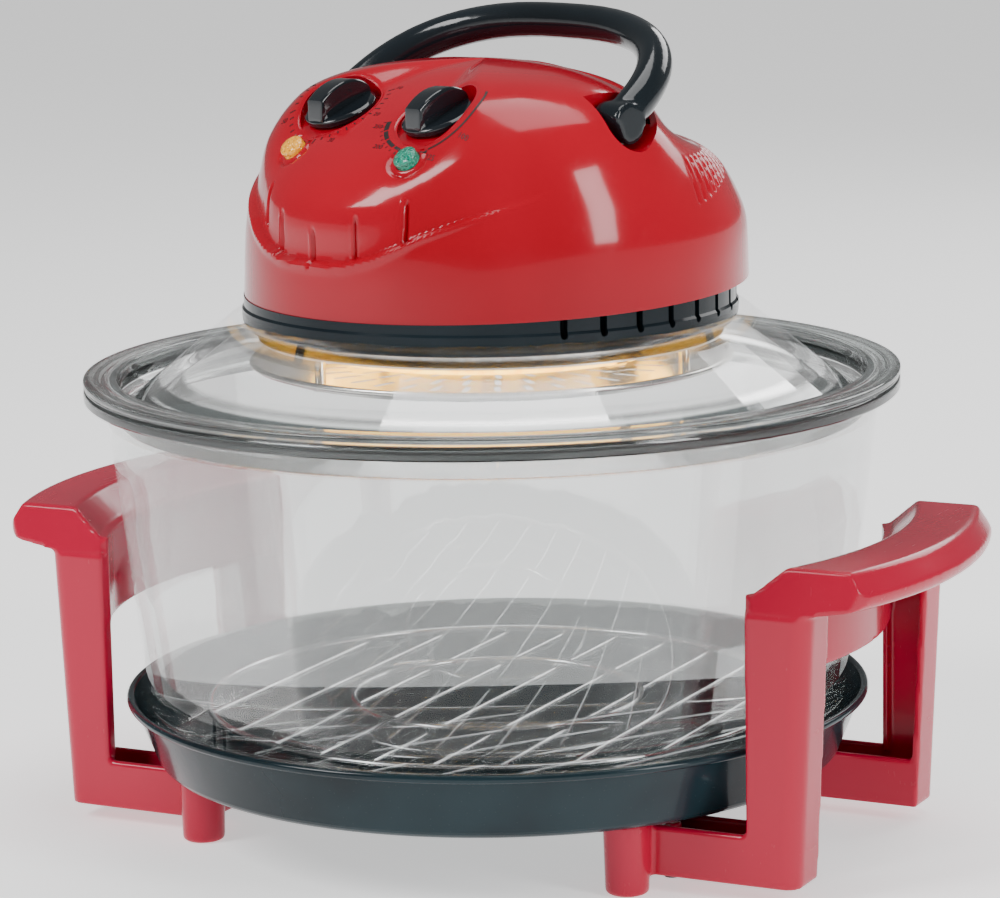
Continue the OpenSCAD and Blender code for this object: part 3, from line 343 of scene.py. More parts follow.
plastics = {
    "frame red": {"colour": (0.50, 0.008, 0.042), "deep": (0.42, 0.006, 0.032), "flowScale": 9.0,
                  "peelScale": 420, "gloss": 0.2, "coat": 0.2, "shine": 0.25, "peel": 0.05},
    "cover red": {"colour": (0.46, 0.003, 0.018), "deep": (0.37, 0.002, 0.012), "flowScale": 12.0,
                  "peelScale": 380, "gloss": 0.14, "coat": 0.36, "shine": 0.2, "peel": 0.03},
    # the blacks are tinted blue-green: a painted sheen standing in for reflections
    "housing black": {"colour": (0.006, 0.011, 0.015), "deep": (0.011, 0.019, 0.025),
                      "flowScale": 16.0, "peelScale": 380, "gloss": 0.16, "coat": 0.1,
                      "shine": 0.12, "peel": 0.05},
    "handle black": {"colour": (0.007, 0.011, 0.014), "deep": (0.013, 0.019, 0.024),
                     "flowScale": 16.0, "peelScale": 420, "gloss": 0.14, "coat": 0.3,
                     "shine": 0.25, "peel": 0.05},
    "knob black": {"colour": (0.006, 0.009, 0.012), "deep": (0.012, 0.016, 0.02), "flowScale": 30.0,
                   "peelScale": 500, "gloss": 0.08, "coat": 0.5, "shine": 0.3, "peel": 0.03},
}
# clear is how solid the plain wall looks; a band is (bottom, top, how solid)
# deep is the colour of the reflection painted in a band on each rim
glassLook = {"waveScale": 26.0, "wave": 0.04, "tint": (0.93, 0.96, 0.95), "clear": 0.2,
             "deep": (0.012, 0.016, 0.016)}
bowlTop, bowlLow = high("glass_bowl").z, low("glass_bowl").z
bowlLook = {**glassLook, "clear": 0.3, "tint": (0.84, 0.88, 0.87), "paintedReflection": bowlTop - 6 * mm,
            "bands": [(bowlTop - 7 * mm, 1, 0.92), (-1, bowlLow + 9 * mm, 0.12)]}
lidLook = {**glassLook, "paintedReflection": lidZ + 0.6 * mm,
           "bands": [(lidZ - 12 * mm, lidZ + 7 * mm, 0.92), (seatZ - 10 * mm, 1, 0.1)]}
looks = {name.replace(" ", "_"): glossyPlastic(name, settings) for name, settings in plastics.items()}
looks.update({
    "enamel_black": enamel("black enamel"),
    "zinc_steel": sheetMetal("zinc plate", (0.62, 0.63, 0.6),
                             {"grainScale": 240, "grain": (1, 1, 1), "gloss": 0.3, "relief": 0.15}),
    "black_steel": sheetMetal("blacked steel", (0.05, 0.05, 0.055),
                              {"grainScale": 300, "grain": (1, 1, 1), "gloss": 0.38, "relief": 0.15}),
    # bright steel is tinted warm: painted warm light from the halogen ring
    "bright_steel": sheetMetal("bright steel", (0.74, 0.72, 0.68),
                               {"grainScale": 500, "grain": (1, 0.1, 1), "gloss": 0.14, "relief": 0.1}),
    "bright_aluminium": sheetMetal("bright aluminium", (0.84, 0.84, 0.83), {
        "grainScale": 380, "grain": (1, 0.15, 1), "gloss": 0.16, "relief": 0.12}),
    "rack_chrome": sheetMetal("rack chrome", (0.78, 0.79, 0.8),
                              {"grainScale": 300, "grain": (1, 1, 1), "gloss": 0.03, "relief": 0.04}),
    "core_steel": laminations("core steel", (0.3, 0.3, 0.32)),
    "coil_copper": woundWire("coil copper", (0.62, 0.3, 0.12)),
    "bush_bronze": sheetMetal("sintered bronze", (0.6, 0.4, 0.2),
                              {"grainScale": 900, "grain": (1, 1, 1), "gloss": 0.35, "relief": 0.3}),
    "bowl_glass": pressedGlass("bowl glass", bowlLook),
    "lid_glass": pressedGlass("lid glass", lidLook),
    "seal_rubber": rubber("seal rubber", (0.02, 0.022, 0.024)),
    "halogen_glow": litQuartz("lit quartz"),
    "ceramic_white": ceramic("bare ceramic", (0.82, 0.8, 0.74)),
    "lens_amber": lampLens("amber lens", (0.95, 0.42, 0.02), (0.55, 0.18, 0.0), 700),
    "lens_green": lampLens("green lens", (0.0, 0.26, 0.16), (0.0, 0.06, 0.045), 900),
    "holder_white": mattePlastic("holder white", (0.8, 0.79, 0.75)),
    "switch_grey": mattePlastic("switch grey", (0.16, 0.16, 0.17)),
    "fan_black": mattePlastic("fan black", (0.03, 0.03, 0.032)),
})
dialInk = ink("dial ink", (0.012, 0.008, 0.008))
print("materials ready:", len(looks) + 1)

slotOf = {s["node"]: s["material_slot"] for s in frame["record"]["subparts"]}
bodyOf = {n: b for b, nodes in frame["record"]["behaviour"]["bodies"].items() for n in nodes}
for name, thing in frame["nodes"].items():
    thing.data.materials.clear()
    thing.data.materials.append(looks[slotOf[name]])


def smoothed(mesh, angle=38):
    # smooth shading that keeps corners sharper than the angle crisp
    work = bmesh.new()
    work.from_mesh(mesh)
    limit = math.radians(angle)
    for face in work.faces:
        face.smooth = True
    for edge in work.edges:
        edge.smooth = len(edge.link_faces) != 2 or edge.calc_face_angle(0) < limit
    work.to_mesh(mesh)
    work.free()


def piece(name, points, faces, body, slot, turn=None, stands=(), finish=None, angle=38):
    # a mesh object; with a body it becomes a visible piece in place of the nodes it stands for
    mesh = bpy.data.meshes.new(name)
    mesh.from_pydata([tuple(p) for p in points], [], faces)
    mesh.validate()
    if turn is not None:
        mesh.transform(turn)
    work = bmesh.new()
    work.from_mesh(mesh)
    bmesh.ops.remove_doubles(work, verts=work.verts, dist=1e-7)
    bmesh.ops.recalc_face_normals(work, faces=work.faces)
    work.to_mesh(mesh)
    work.free()
    smoothed(mesh, angle)
    thing = bpy.data.objects.new(name, mesh)
    bpy.context.scene.collection.objects.link(thing)
    if body:
        fit(thing, body, slot, stands, finish)
    return thing


def fit(thing, body, slot, stands=(), finish=None):
    # makes an object a visible piece of its body, in place of the nodes it stands for
    thing.data.materials.clear()
    thing.data.materials.append(finish or looks[slot])
    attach(thing, body)
    if stands:
        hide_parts(*stands)


def bake(thing):
    # applies the object's modifiers
    bpy.context.view_layer.update()
    made = thing.evaluated_get(bpy.context.evaluated_depsgraph_get())
    mesh = bpy.data.meshes.new_from_object(made)
    thing.modifiers.clear()
    thing.data = mesh


def rounded(corners, steps):
    # a closed outline whose corners, (across, up, radius), are rounded
    out = []
    count = len(corners)
    for i, corner in enumerate(corners):
        here, want = Vector(corner[:2]), corner[2]
        before = Vector(corners[i - 1][:2]) - here
        after = Vector(corners[(i + 1) % count][:2]) - here
        turn = before.angle(after)
        reach = want / math.tan(turn / 2) if want else 0
        reach = min(reach, 0.48 * before.length, 0.48 * after.length)
        if reach < 1e-7:
            out.append(here)
            continue
        start = here + before.normalized() * reach
        end = here + after.normalized() * reach
        for k in range(steps + 1):
            t = k / steps
            out.append(start * (1 - t) ** 2 + here * 2 * t * (1 - t) + end * t ** 2)
    return out


def lathe(name, outline, body, slot, turns=192, **rest):
    # a closed outline of (radius, height) turned about the upright axis
    count = len(outline)
    points = []
    for i in range(turns):
        a = 2 * math.pi * i / turns
        points += [(p[0] * math.cos(a), p[0] * math.sin(a), p[1]) for p in outline]
    faces = []
    for i in range(turns):
        for k in range(count):
            j, m = (i + 1) % turns, (k + 1) % count
            faces.append((i * count + k, j * count + k, j * count + m, i * count + m))
    return piece(name, points, faces, body, slot, **rest)


def boolean(thing, tool, operation):
    # joins or cuts a solid with another one, which is used up
    change = thing.modifiers.new("cut", "BOOLEAN")
    change.operation = operation
    change.solver = "MANIFOLD"
    change.object = tool
    bake(thing)
    bpy.data.objects.remove(tool)
    return thing


# The cover's outline at some bearings from its front: (radius, height over the seat) from
# the crest's middle down to the lower edge. The columns in the middle make the cliff between
# the hood and the lower rear dome. The smile is (bearing, height), a groove is (bearing,
# bottom, top), and all of it is in millimetres and degrees.
coverShape = {
    "crest": 105.5,
    "bearings": {
        0: [(20, 102.5), (36, 97.4), (50, 91), (60, 85.6), (66, 81.8), (72, 77.8), (80, 71.8),
            (88.5, 63.8), (94.5, 53.3), (97.8, 38.8), (98.6, 12)],
        22: [(20, 102.6), (37, 97.6), (51, 91.8), (62, 85.8), (69, 81.8), (75, 77.6), (82, 72.1),
             (89, 64.3), (95, 52.8), (98.2, 37.8), (98.8, 12.2)],
        44: [(20, 105), (38, 103.6), (54, 100.8), (66, 96.8), (72.5, 93.3), (78.5, 87.8), (84, 81.1),
             (90, 70.3), (94.8, 55.8), (97.8, 38.8), (99.2, 13)],
        68: [(20, 104.8), (38, 103.4), (56, 100.4), (68, 96.6), (75, 92.8), (81.5, 87.3), (87.5, 79.3),
             (93, 68.3), (97.3, 54.8), (99.7, 38.8), (100.6, 14.1)],
        90: [(20, 104.8), (38, 103.2), (57, 99.5), (70, 95.4), (77.5, 91.8), (83.5, 85.8), (89, 77.6),
             (94, 66.8), (98.5, 53.3), (101, 37.8), (101.8, 15.2)],
        112: [(18, 104.4), (35, 102.1), (52, 97.3), (65, 91.3), (71, 87.3), (77, 79.8), (86, 72.8),
              (92.8, 64.8), (98.5, 52.8), (102.5, 37.8), (103.3, 16.5)],
        136: [(15, 104.3), (29.5, 100.8), (45, 93.8), (57, 86.6), (60.5, 83.1), (62.5, 74.6), (81, 70.8),
              (91, 64.8), (99, 52.8), (103.9, 37.8), (104.5, 17.7)],
        158: [(13, 104.3), (26, 101.1), (38, 95.4), (47, 89.6), (50, 85.8), (51.5, 75.8), (79, 71.6),
              (91, 64.8), (99.3, 52.8), (104, 37.8), (104.6, 18.3)],
        180: [(12, 104.3), (24, 101.4), (35, 96.4), (43, 91.3), (46, 87.3), (47.5, 76.8), (78, 71.8),
              (91, 64.8), (99.3, 52.8), (104, 37.8), (104.6, 18.5)],
    },
    "wall": 2.4,
    "smile": [(0, 33.5), (10, 34), (18, 37.5), (24.6, 42), (29.4, 46), (40.8, 52.5), (52.7, 58),
              (66, 64)],
    "smileDepth": 3.2,
    "grooves": [(-22, 45, 62), (-12.5, 34.5, 53), (0, 32, 48), (13, 36, 54), (26, 43, 61)],
    "grooveDepth": 1.7,
    "grooveHalf": 0.75,
    "faceR": 96,
    "slatStart": 18,
    "slatPitch": 5.0,
    "slatDepth": 0.8,
    "troughY": 15,
    "troughDepth": 3.4,
    "ridgeY": 22,
    "ridgeRise": 0.9,
    "fairing": 10,
    "dishRound": 1.2,
    "dishDeep": 3.4,
    "dishR": 17.2,
    "pocketHalf": 8.6,
}
seatMm = seatZ / mm


def eased(value, start, end):
    # 0 at start, 1 at end, eased in between
    t = np.clip((value - start) / (end - start), 0, 1)
    return t * t * (3 - 2 * t)


def hermite(places, values, wanted):
    # monotone cubic through the values, so that cliffs and flats do not ring
    places, values = np.array(places, float), np.array(values, float)
    slope = np.diff(values, axis=0) / np.diff(places)[:, None]
    same = slope[:-1] * slope[1:]
    inner = np.where(same > 0, 2 * same / np.where(same > 0, slope[:-1] + slope[1:], 1), 0)
    tangent = np.vstack([slope[:1], inner, slope[-1:]])
    k = np.clip(np.searchsorted(places, wanted, side="right") - 1, 0, len(places) - 2)
    step = places[k + 1] - places[k]
    t = ((wanted - places[k]) / step)[:, None]
    h = step[:, None]
    return ((2 * t ** 3 - 3 * t ** 2 + 1) * values[k] + (t ** 3 - 2 * t ** 2 + t) * h * tangent[k]
            + (3 * t ** 2 - 2 * t ** 3) * values[k + 1] + (t ** 3 - t ** 2) * h * tangent[k + 1])


def coverBearings():
    # closer together across the face, where the fine grooves are
    face = np.arange(-70, 70, 0.4)
    rest = np.arange(70, 290, 0.7)
    return np.concatenate([face, rest])


def coverGrid(inset=0.0):
    # the plain outer surface, or the same surface that far inside it
    shape = coverShape
    bearings = sorted(shape["bearings"])
    rows = np.concatenate([np.linspace(0.0, 1, 12)[:-1], np.linspace(1, 11, 210)])
    curves = []
    for bearing in bearings:
        outline = np.array([(0, shape["crest"])] + shape["bearings"][bearing], float)
        curves.append(hermite(range(len(outline)), outline, rows))
    # the right side again as the left, and a few past each end so that the ring closes smoothly
    ring = list(range(len(bearings))) + list(range(len(bearings) - 2, 0, -1))
    spots = bearings + [360 - bearing for bearing in bearings[-2:0:-1]]
    spots = [s - 360 for s in spots[-3:]] + spots + [s + 360 for s in spots[:4]]
    ring = ring[-3:] + ring + ring[:4]
    stack = np.array([curves[k] for k in ring])
    wanted = coverBearings()
    flat = stack.reshape(len(ring), -1)
    table = hermite(spots, flat, wanted).reshape(len(wanted), len(rows), 2)
    # fair the loft along both ways, then put the poles back
    for _ in range(shape["fairing"]):
        side = (np.roll(table, 1, 0) + np.roll(table, -1, 0)) / 2
        table = 0.5 * table + 0.5 * side
        inner = (table[:, :-2] + table[:, 2:]) / 2
        table[:, 1:-1] = 0.5 * table[:, 1:-1] + 0.5 * inner
    table[:, 0, 0] = 0
    table[:, 0, 1] = table[:, 0, 1].mean()
    a = np.radians(wanted)[:, None]
    radius, height = table[:, :, 0], table[:, :, 1]
    grid = np.stack([radius * np.sin(a), -radius * np.cos(a), height + seatMm], axis=2)
    normal = gridNormals(grid)
    return wanted, grid - normal * inset, normal


def gridNormals(grid):
    # outward normals of the grid, from its neighbours both ways
    along = np.roll(grid, -1, 0) - np.roll(grid, 1, 0)
    down = np.empty_like(grid)
    down[:, 1:-1] = grid[:, 2:] - grid[:, :-2]
    down[:, 0] = grid[:, 1] - grid[:, 0]
    down[:, -1] = grid[:, -1] - grid[:, -2]
    normal = np.cross(down, along)
    length = np.linalg.norm(normal, axis=2, keepdims=True)
    normal = normal / np.maximum(length, 1e-9)
    normal[:, :2] = (0, 0, 1)
    return normal


def coverRelief(bearing, grid):
    # height of the fine forms over the plain surface, in millimetres
    shape = coverShape
    x, y, z = grid[:, :, 0], grid[:, :, 1], grid[:, :, 2] - seatMm
    phi = np.where(bearing > 180, bearing - 360, bearing)[:, None] * np.ones_like(z)
    turned = np.abs(phi)
    smileAt = np.interp(turned, *np.array(shape["smile"]).T)
    fade = 1 - eased(turned, 30, 64)
    over = z - smileAt
    front = turned < 70
    ledge = -shape["smileDepth"] * fade * eased(over, -0.9, 1.3) * (1 - eased(over, 3, 23))
    lip = 0.5 * fade * np.exp(-((over + 1.2) / 1.6) ** 2)
    relief = np.where(front, ledge + lip, 0)
    for at, bottom, top in shape["grooves"]:
        aside = np.radians(phi - at) * shape["faceR"]
        run = eased(z, bottom - 1, bottom + 1) * (1 - eased(z, top - 4, top))
        relief -= shape["grooveDepth"] * run * np.exp(-(aside / shape["grooveHalf"]) ** 2)
        relief += 0.35 * run * np.exp(-((aside + 1.9) / 0.7) ** 2)
    # slats over the rear dome, and the raised seam that ends them
    behind = y - shape["slatStart"]
    slat = np.sin(math.pi * behind / shape["slatPitch"]) ** 8
    band = eased(y, 19, 21) * (1 - eased(y, 84, 86)) * eased(np.abs(x), 40, 47)
    lowEnd = 50 + behind * 0.2
    band = band * eased(z, lowEnd, lowEnd + 3) * (1 - eased(z, 68.5, 70.5))
    relief -= shape["slatDepth"] * slat * band
    # trough across the crest, with a second ridge behind it
    crest = (1 - eased(np.abs(x), 52, 66)) * eased(z, 84, 92)
    relief -= shape["troughDepth"] * crest * np.exp(-((y - shape["troughY"]) / 3.2) ** 4)
    relief += shape["ridgeRise"] * crest * np.exp(-((y - shape["ridgeY"]) / 2.6) ** 2)
    return relief


def smileZone(bearing, grid):
    # where the wall steps in behind the smile, a little wider than the step itself
    turned = np.abs(np.where(bearing > 180, bearing - 360, bearing))[:, None]
    over = grid[:, :, 2] - seatMm - np.interp(turned, *np.array(coverShape["smile"]).T)
    return (1 - eased(turned, 40, 72)) * eased(over, -9, -3) * (1 - eased(over, 20, 32))


def axisDistance(grid, point, axis):
    # distance of each point from a line, and its height along the line
    offset = grid - np.array(point)
    height = offset @ np.array(axis)
    aside = offset - height[..., None] * np.array(axis)
    return np.linalg.norm(aside, axis=-1), height


lampPlaces = {}
for node in ("power_lens", "heat_lens"):
    middle = (low(node) + high(node)) / 2
    lampPlaces[node] = toHead @ middle
lampTilt = math.radians(44)
lampAxis = Vector((0, -math.sin(lampTilt), math.cos(lampTilt)))


def closedGrid(name, grid, floorZ):
    # the grid as a closed solid with a flat floor
    columns, rows = grid.shape[:2]
    points = [tuple(grid[0, 0])]
    points += [tuple(grid[i, k]) for i in range(columns) for k in range(1, rows)]
    index = lambda i, k: 0 if k == 0 else 1 + (i % columns) * (rows - 1) + k - 1
    faces = []
    for i in range(columns):
        faces.append((0, index(i + 1, 1), index(i, 1)))
        for k in range(1, rows - 1):
            faces.append((index(i, k), index(i + 1, k), index(i + 1, k + 1), index(i, k + 1)))
    start = len(points)
    points += [(grid[i, -1][0], grid[i, -1][1], floorZ) for i in range(columns)]
    for i in range(columns):
        j = (i + 1) % columns
        faces.append((index(i, rows - 1), index(i + 1, rows - 1), start + j, start + i))
    faces.append(tuple(start + i for i in range(columns)))
    return piece(name, np.array(points) * mm, faces, None, None)


def placed(name, work, *moves):
    # a new object from an edit mesh, moved by each matrix in turn
    mesh = bpy.data.meshes.new(name)
    work.to_mesh(mesh)
    work.free()
    for move in moves:
        mesh.transform(move)
    thing = bpy.data.objects.new(name, mesh)
    bpy.context.scene.collection.objects.link(thing)
    return thing


def blockAt(name, size, place, turn=None):
    # a block turned about its middle, then moved there
    work = bmesh.new()
    bmesh.ops.create_cube(work, size=1)
    return placed(name, work, Matrix.Diagonal((*size, 1)), turn or Matrix(), Matrix.Translation(place))


def drumAt(name, radius, height, place, axis, sides=96):
    # a cylinder from place along axis
    work = bmesh.new()
    bmesh.ops.create_cone(work, cap_ends=True, segments=sides, radius1=radius, radius2=radius,
                          depth=height)
    along = Vector(axis).to_track_quat("Z", "Y").to_matrix().to_4x4()
    return placed(name, work, Matrix.Translation((0, 0, height / 2)), along, Matrix.Translation(place))


def makeCover():
    shape = coverShape
    bearing, grid, normal = coverGrid()
    relief = coverRelief(bearing, grid)
    # edges of the knob dishes and the lamp holes roll over
    soft = shape["dishRound"]
    for point in knobPoints.values():
        aside, _ = axisDistance(grid, point / mm, knobAxis)
        relief -= soft * np.exp(-np.maximum(aside - shape["dishR"], 0) / 0.9) * (aside < 26)
    for point in lampPlaces.values():
        aside, _ = axisDistance(grid, point / mm, lampAxis)
        relief -= 0.9 * np.exp(-((aside - 7.4) / 0.9) ** 2)
    plain = grid
    grid = grid + normal * relief[..., None]
    shell = closedGrid("cover_shell", grid, seatMm + 10)
    _, inner, inward = coverGrid(shape["wall"])
    inner = inner - inward * (shape["smileDepth"] * 1.5 * smileZone(bearing, plain))[..., None]
    hollow = closedGrid("cover_hollow", inner[::3, ::2], seatMm + 5)
    boolean(shell, hollow, "DIFFERENCE")
    return shell


def finishCover():
    shape = coverShape
    shell = makeCover()
    solid = closedGrid("cover_solid", coverGrid(0.6)[1][::3, ::2], seatMm + 11)
    ribs = None
    # floors of the dishes and walls of the pockets, kept inside the cover's surface
    for point in knobPoints.values():
        spot = Vector(point) - knobAxis * 9 * mm
        drum = drumAt("dish_floor", (shape["dishR"] + 2.2) * mm, 40 * mm, spot, knobAxis)
        ribs = drum if ribs is None else boolean(ribs, drum, "UNION")
    for side in (-1, 1):
        block = blockAt("pocket_wall", (24 * mm, 33 * mm, 52 * mm),
                        (side * 79 * mm, hingePoint.y + 1 * mm, hingePoint.z + 5 * mm))
        boolean(ribs, block, "UNION")
    boolean(ribs, solid, "INTERSECT")
    boolean(shell, ribs, "UNION")
    for point in knobPoints.values():
        spot = Vector(point) - knobAxis * shape["dishDeep"] * mm
        boolean(shell, drumAt("dish", shape["dishR"] * mm, 40 * mm, spot, knobAxis), "DIFFERENCE")
        hole = drumAt("shaft_hole", 3.6 * mm, 60 * mm, Vector(point) - knobAxis * 30 * mm, knobAxis, 40)
        boolean(shell, hole, "DIFFERENCE")
    for point in lampPlaces.values():
        spot = Vector(point) - lampAxis * 20 * mm
        boolean(shell, drumAt("lamp_hole", 5.2 * mm, 50 * mm, spot, lampAxis, 64), "DIFFERENCE")
    for side in (-1, 1):
        boolean(shell, pocketTool(side), "DIFFERENCE")
    # the sloping lower edge
    front, back = shape["bearings"][0][-1][1], shape["bearings"][180][-1][1]
    slope = math.atan2((back - front) * mm, 203 * mm)
    middle = (front + back) / 2 * mm + seatZ
    under = blockAt("under", (0.4, 0.4, 0.1), (0, 3 * mm, middle - 0.05), Matrix.Rotation(slope, 4, "X"))
    boolean(shell, under, "DIFFERENCE")
    gland = toHead @ ((low("cord_gland") + high("cord_gland")) / 2)
    bore = drumAt("gland_hole", 5.9 * mm, 60 * mm, (gland.x, 0.07, gland.z), (0, 1, 0), 48)
    boolean(shell, bore, "DIFFERENCE")
    return dressCover(shell)


def pocketTool(side):
    # the space that one arm of the handle swings in: a drum, and a wedge open to the top
    half = coverShape["pocketHalf"]
    reach = 10.4 * mm
    armX = side * abs(armMiddle)
    turned = []
    for degrees in (0, 12, 24, 36, 48, 60):
        a = math.radians(degrees)
        spin = Matrix.Rotation(-a, 4, "X")
        centre = Vector((armX, hingePoint.y, hingePoint.z)) + spin @ Vector((0, 0, 30 * mm))
        turned.append(blockAt("swing", (40 * mm, 2 * reach, 60 * mm), (0, 0, 0), spin))
        turned[-1].data.transform(Matrix.Translation(centre))
    drum = drumAt("eye", reach, 40 * mm, (armX - 20 * mm, hingePoint.y, hingePoint.z), (1, 0, 0), 64)
    tool = drum
    for block in turned:
        boolean(tool, block, "UNION")
    keep = blockAt("keep", (32 * mm, 0.2, 0.2),
                   (armX + side * (16 - half) * mm, hingePoint.y, hingePoint.z))
    return boolean(tool, keep, "INTERSECT")


corners = [toHead @ v.co for v in frame["nodes"]["carry_handle"].data.vertices]
armMiddle = max(c.x for c in corners) - 7 * mm


def dressCover(shell):
    mesh = shell.data
    mesh.transform(toRow)
    smoothed(mesh, 32)
    shell.name = "moulded_cover"
    fit(shell, "lid", "cover_red", ["head_cover"])
    return shell


cover = finishCover()
print("cover moulded:", len(cover.data.polygons), "faces")


def softened(node, voxel, passes):
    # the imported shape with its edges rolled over, as a moulding's are
    source = frame["nodes"][node]
    thing = bpy.data.objects.new("soft_" + node, source.data.copy())
    bpy.context.scene.collection.objects.link(thing)
    remesh = thing.modifiers.new("even", "REMESH")
    remesh.mode = "VOXEL"
    remesh.voxel_size = voxel
    smooth = thing.modifiers.new("roll", "SMOOTH")
    smooth.factor = 0.5
    smooth.iterations = passes
    bake(thing)
    for face in thing.data.polygons:
        face.use_smooth = True
    fit(thing, bodyOf[node], slotOf[node], [node])


softParts = {
    "left_frame": {"voxel": 0.95 * mm, "passes": 4},
    "right_frame": {"voxel": 0.95 * mm, "passes": 4},
    "carry_handle": {"voxel": 0.8 * mm, "passes": 14},
}
for node, how in softParts.items():
    softened(node, how["voxel"], how["passes"])
print("mouldings softened:", len(softParts))


def glassBowl():
    # thick foot, leaning wall, a rim band with a bead above and below it
    lowZ, topZ = low("glass_bowl").z / mm, high("glass_bowl").z / mm
    lean = math.tan(math.radians(6.2))
    out = rimR / mm
    wallR = out - 8
    bottomR = wallR - (topZ - 6 - lowZ) * lean
    corners = [(0, lowZ + 1.2, 0), (bottomR - 22, lowZ + 1.2, 1), (bottomR - 20, lowZ, 1),
               (bottomR - 1, lowZ, 17), (wallR - 0.4, topZ - 8, 3), (wallR + 0.2, topZ - 6.6, 1),
               (out - 1.4, topZ - 6.3, 1.2), (out, topZ - 4.8, 0.9), (out - 0.9, topZ - 3.4, 0.8),
               (out, topZ - 2, 0.9), (out, topZ, 1.2), (out - 14, topZ, 1.4), (wallR - 5, topZ - 5, 2.5),
               (wallR - 6, topZ - 14, 4), (bottomR - 5, lowZ + 5, 13), (0, lowZ + 5, 0)]
    outline = [(p[0] * mm, p[1] * mm) for p in rounded(corners, 7)]
    return lathe("pressed_bowl", outline, "bowl", "bowl_glass", 256, stands=["glass_bowl"], angle=60)


def glassLid():
    # rim with two beads, a step that drops inside the bowl, a cone and a seat for the head
    out, base = rimR / mm, lidZ / mm
    top, seat = base + 5.5, seatZ / mm
    stepR = out - 13.8
    valley = (stepR - 3.3, base - 3)
    crest = (103.4, high("glass_lid").z / mm)
    corners = [(out - 1, base, 0.8), (out, base + 1, 0.8), (out, top, 2), (out - 4.4, top, 1),
               (out - 5.2, top - 0.9, 0.7), (out - 6, top, 0.7), (out - 9, top, 1.5),
               (stepR + 1.6, base + 1.2, 2), (*valley, 2.4), (crest[0] + 1.6, crest[1] - 0.9, 2),
               (crest[0] - 1, crest[1], 1.2),
               (crest[0] - 2.4, crest[1] - 1.6, 1), (crest[0] - 2.4, seat, 0.8), (88, seat, 0.6),
               (88, seat - 4, 0.6), (crest[0] - 0.6, seat - 4, 4), (valley[0], valley[1] - 6.2, 3),
               (stepR - 0.2, valley[1] - 6.2, 1.5), (stepR, base - 0.3, 0.6), (stepR + 0.6, base, 0.2)]
    outline = [(p[0] * mm, p[1] * mm) for p in rounded(corners, 6)]
    return lathe("pressed_lid", outline, "lid", "lid_glass", 256, stands=["glass_lid"], angle=60)


glassBowl()
glassLid()
print("glass turned")


knobShape = {"skirt": 14.9, "length": 14.0, "half": 5.1, "top": 10.4, "nose": 6.6}


def knobBar(shape):
    # stations along the finger bar: a steep facet at its nose, then a long arc to its tail
    points, faces = [], []
    long = shape["length"]
    stations = np.concatenate([[-long], np.linspace(-long + 2.6, long, 30)])
    for k, y in enumerate(stations):
        arc = shape["top"] * math.sqrt(max(0.0, 1 - (max(y, -99) / 15.2) ** 2) ** 1.15)
        height = 2.2 if k == 0 else max(1.6, arc + shape["nose"] * math.exp(-(y + long) / 4.5) * 0.55)
        half = shape["half"] * (1 - 0.16 * (y / long) ** 2)
        ring = rounded([(-half, -1, 0.1), (-half * 0.92, height, 1.3),
                        (half * 0.92, height, 1.3), (half, -1, 0.1)], 5)
        start = len(points)
        points += [(p[0], y, p[1]) for p in ring]
        count = len(ring)
        if k:
            last = start - count
            faces += [(last + i, last + (i + 1) % count, start + (i + 1) % count, start + i)
                      for i in range(count)]
    faces.append(tuple(range(count)))
    faces.append(tuple(range(len(points) - count, len(points))))
    return points, faces


def localAt(point, axis):
    # a frame at a point with its height along the axis and its first axis across the head
    across = Vector((1, 0, 0))
    back = axis.cross(across).normalized()
    turn = Matrix((across, back, axis)).transposed().to_4x4()
    return toRow @ Matrix.Translation(point) @ turn


def knob(which):
    shape = knobShape
    place = localAt(knobPoints[which], knobAxis)
    body = which + "_control"
    r = shape["skirt"]
    corners = [(0, -2.2, 0), (r - 0.6, -2.2, 0.3), (r, 0.2, 0.8), (r - 1.4, 1.1, 0.6), (0, 1.7, 0)]
    outline = [(p[0] * mm, p[1] * mm) for p in rounded(corners, 4)]
    skirt = lathe(which + "_skirt", outline, None, None, 96, turn=place)
    points, faces = knobBar(shape)
    bar = piece(which + "_bar", np.array(points) * mm, faces, None, None, turn=place)
    boolean(skirt, bar, "UNION")
    smoothed(skirt.data, 30)
    skirt.name = which + "_grip"
    fit(skirt, body, "knob_black", [which + "_knob"])


for which in knobPoints:
    knob(which)
print("knobs fitted")


coverTree = BVHTree.FromObject(cover, bpy.context.evaluated_depsgraph_get())
dials = {
    "thermostat": {"numbers": ["250", "200", "150", "125", "100"], "from": 205, "to": 335, "ring": 26.0,
                   "heavy": (200, 290), "light": (290, 395)},
    "timer": {"numbers": ["60", "50", "40", "30", "20", "10"], "from": 160, "to": 400, "ring": 25.0,
              "ticks": 25},
}
inkHeight = 0.09


def onCover(place, u, v, lift):
    # a point of the dial's plane dropped along the knob's axis on to the cover
    start = place @ Vector((u * mm, v * mm, 30 * mm))
    way = (place.to_3x3() @ Vector((0, 0, -1))).normalized()
    hit, normal, _, _ = coverTree.ray_cast(start, way, 0.08)
    if hit is None:
        return None
    return hit + normal * lift * mm


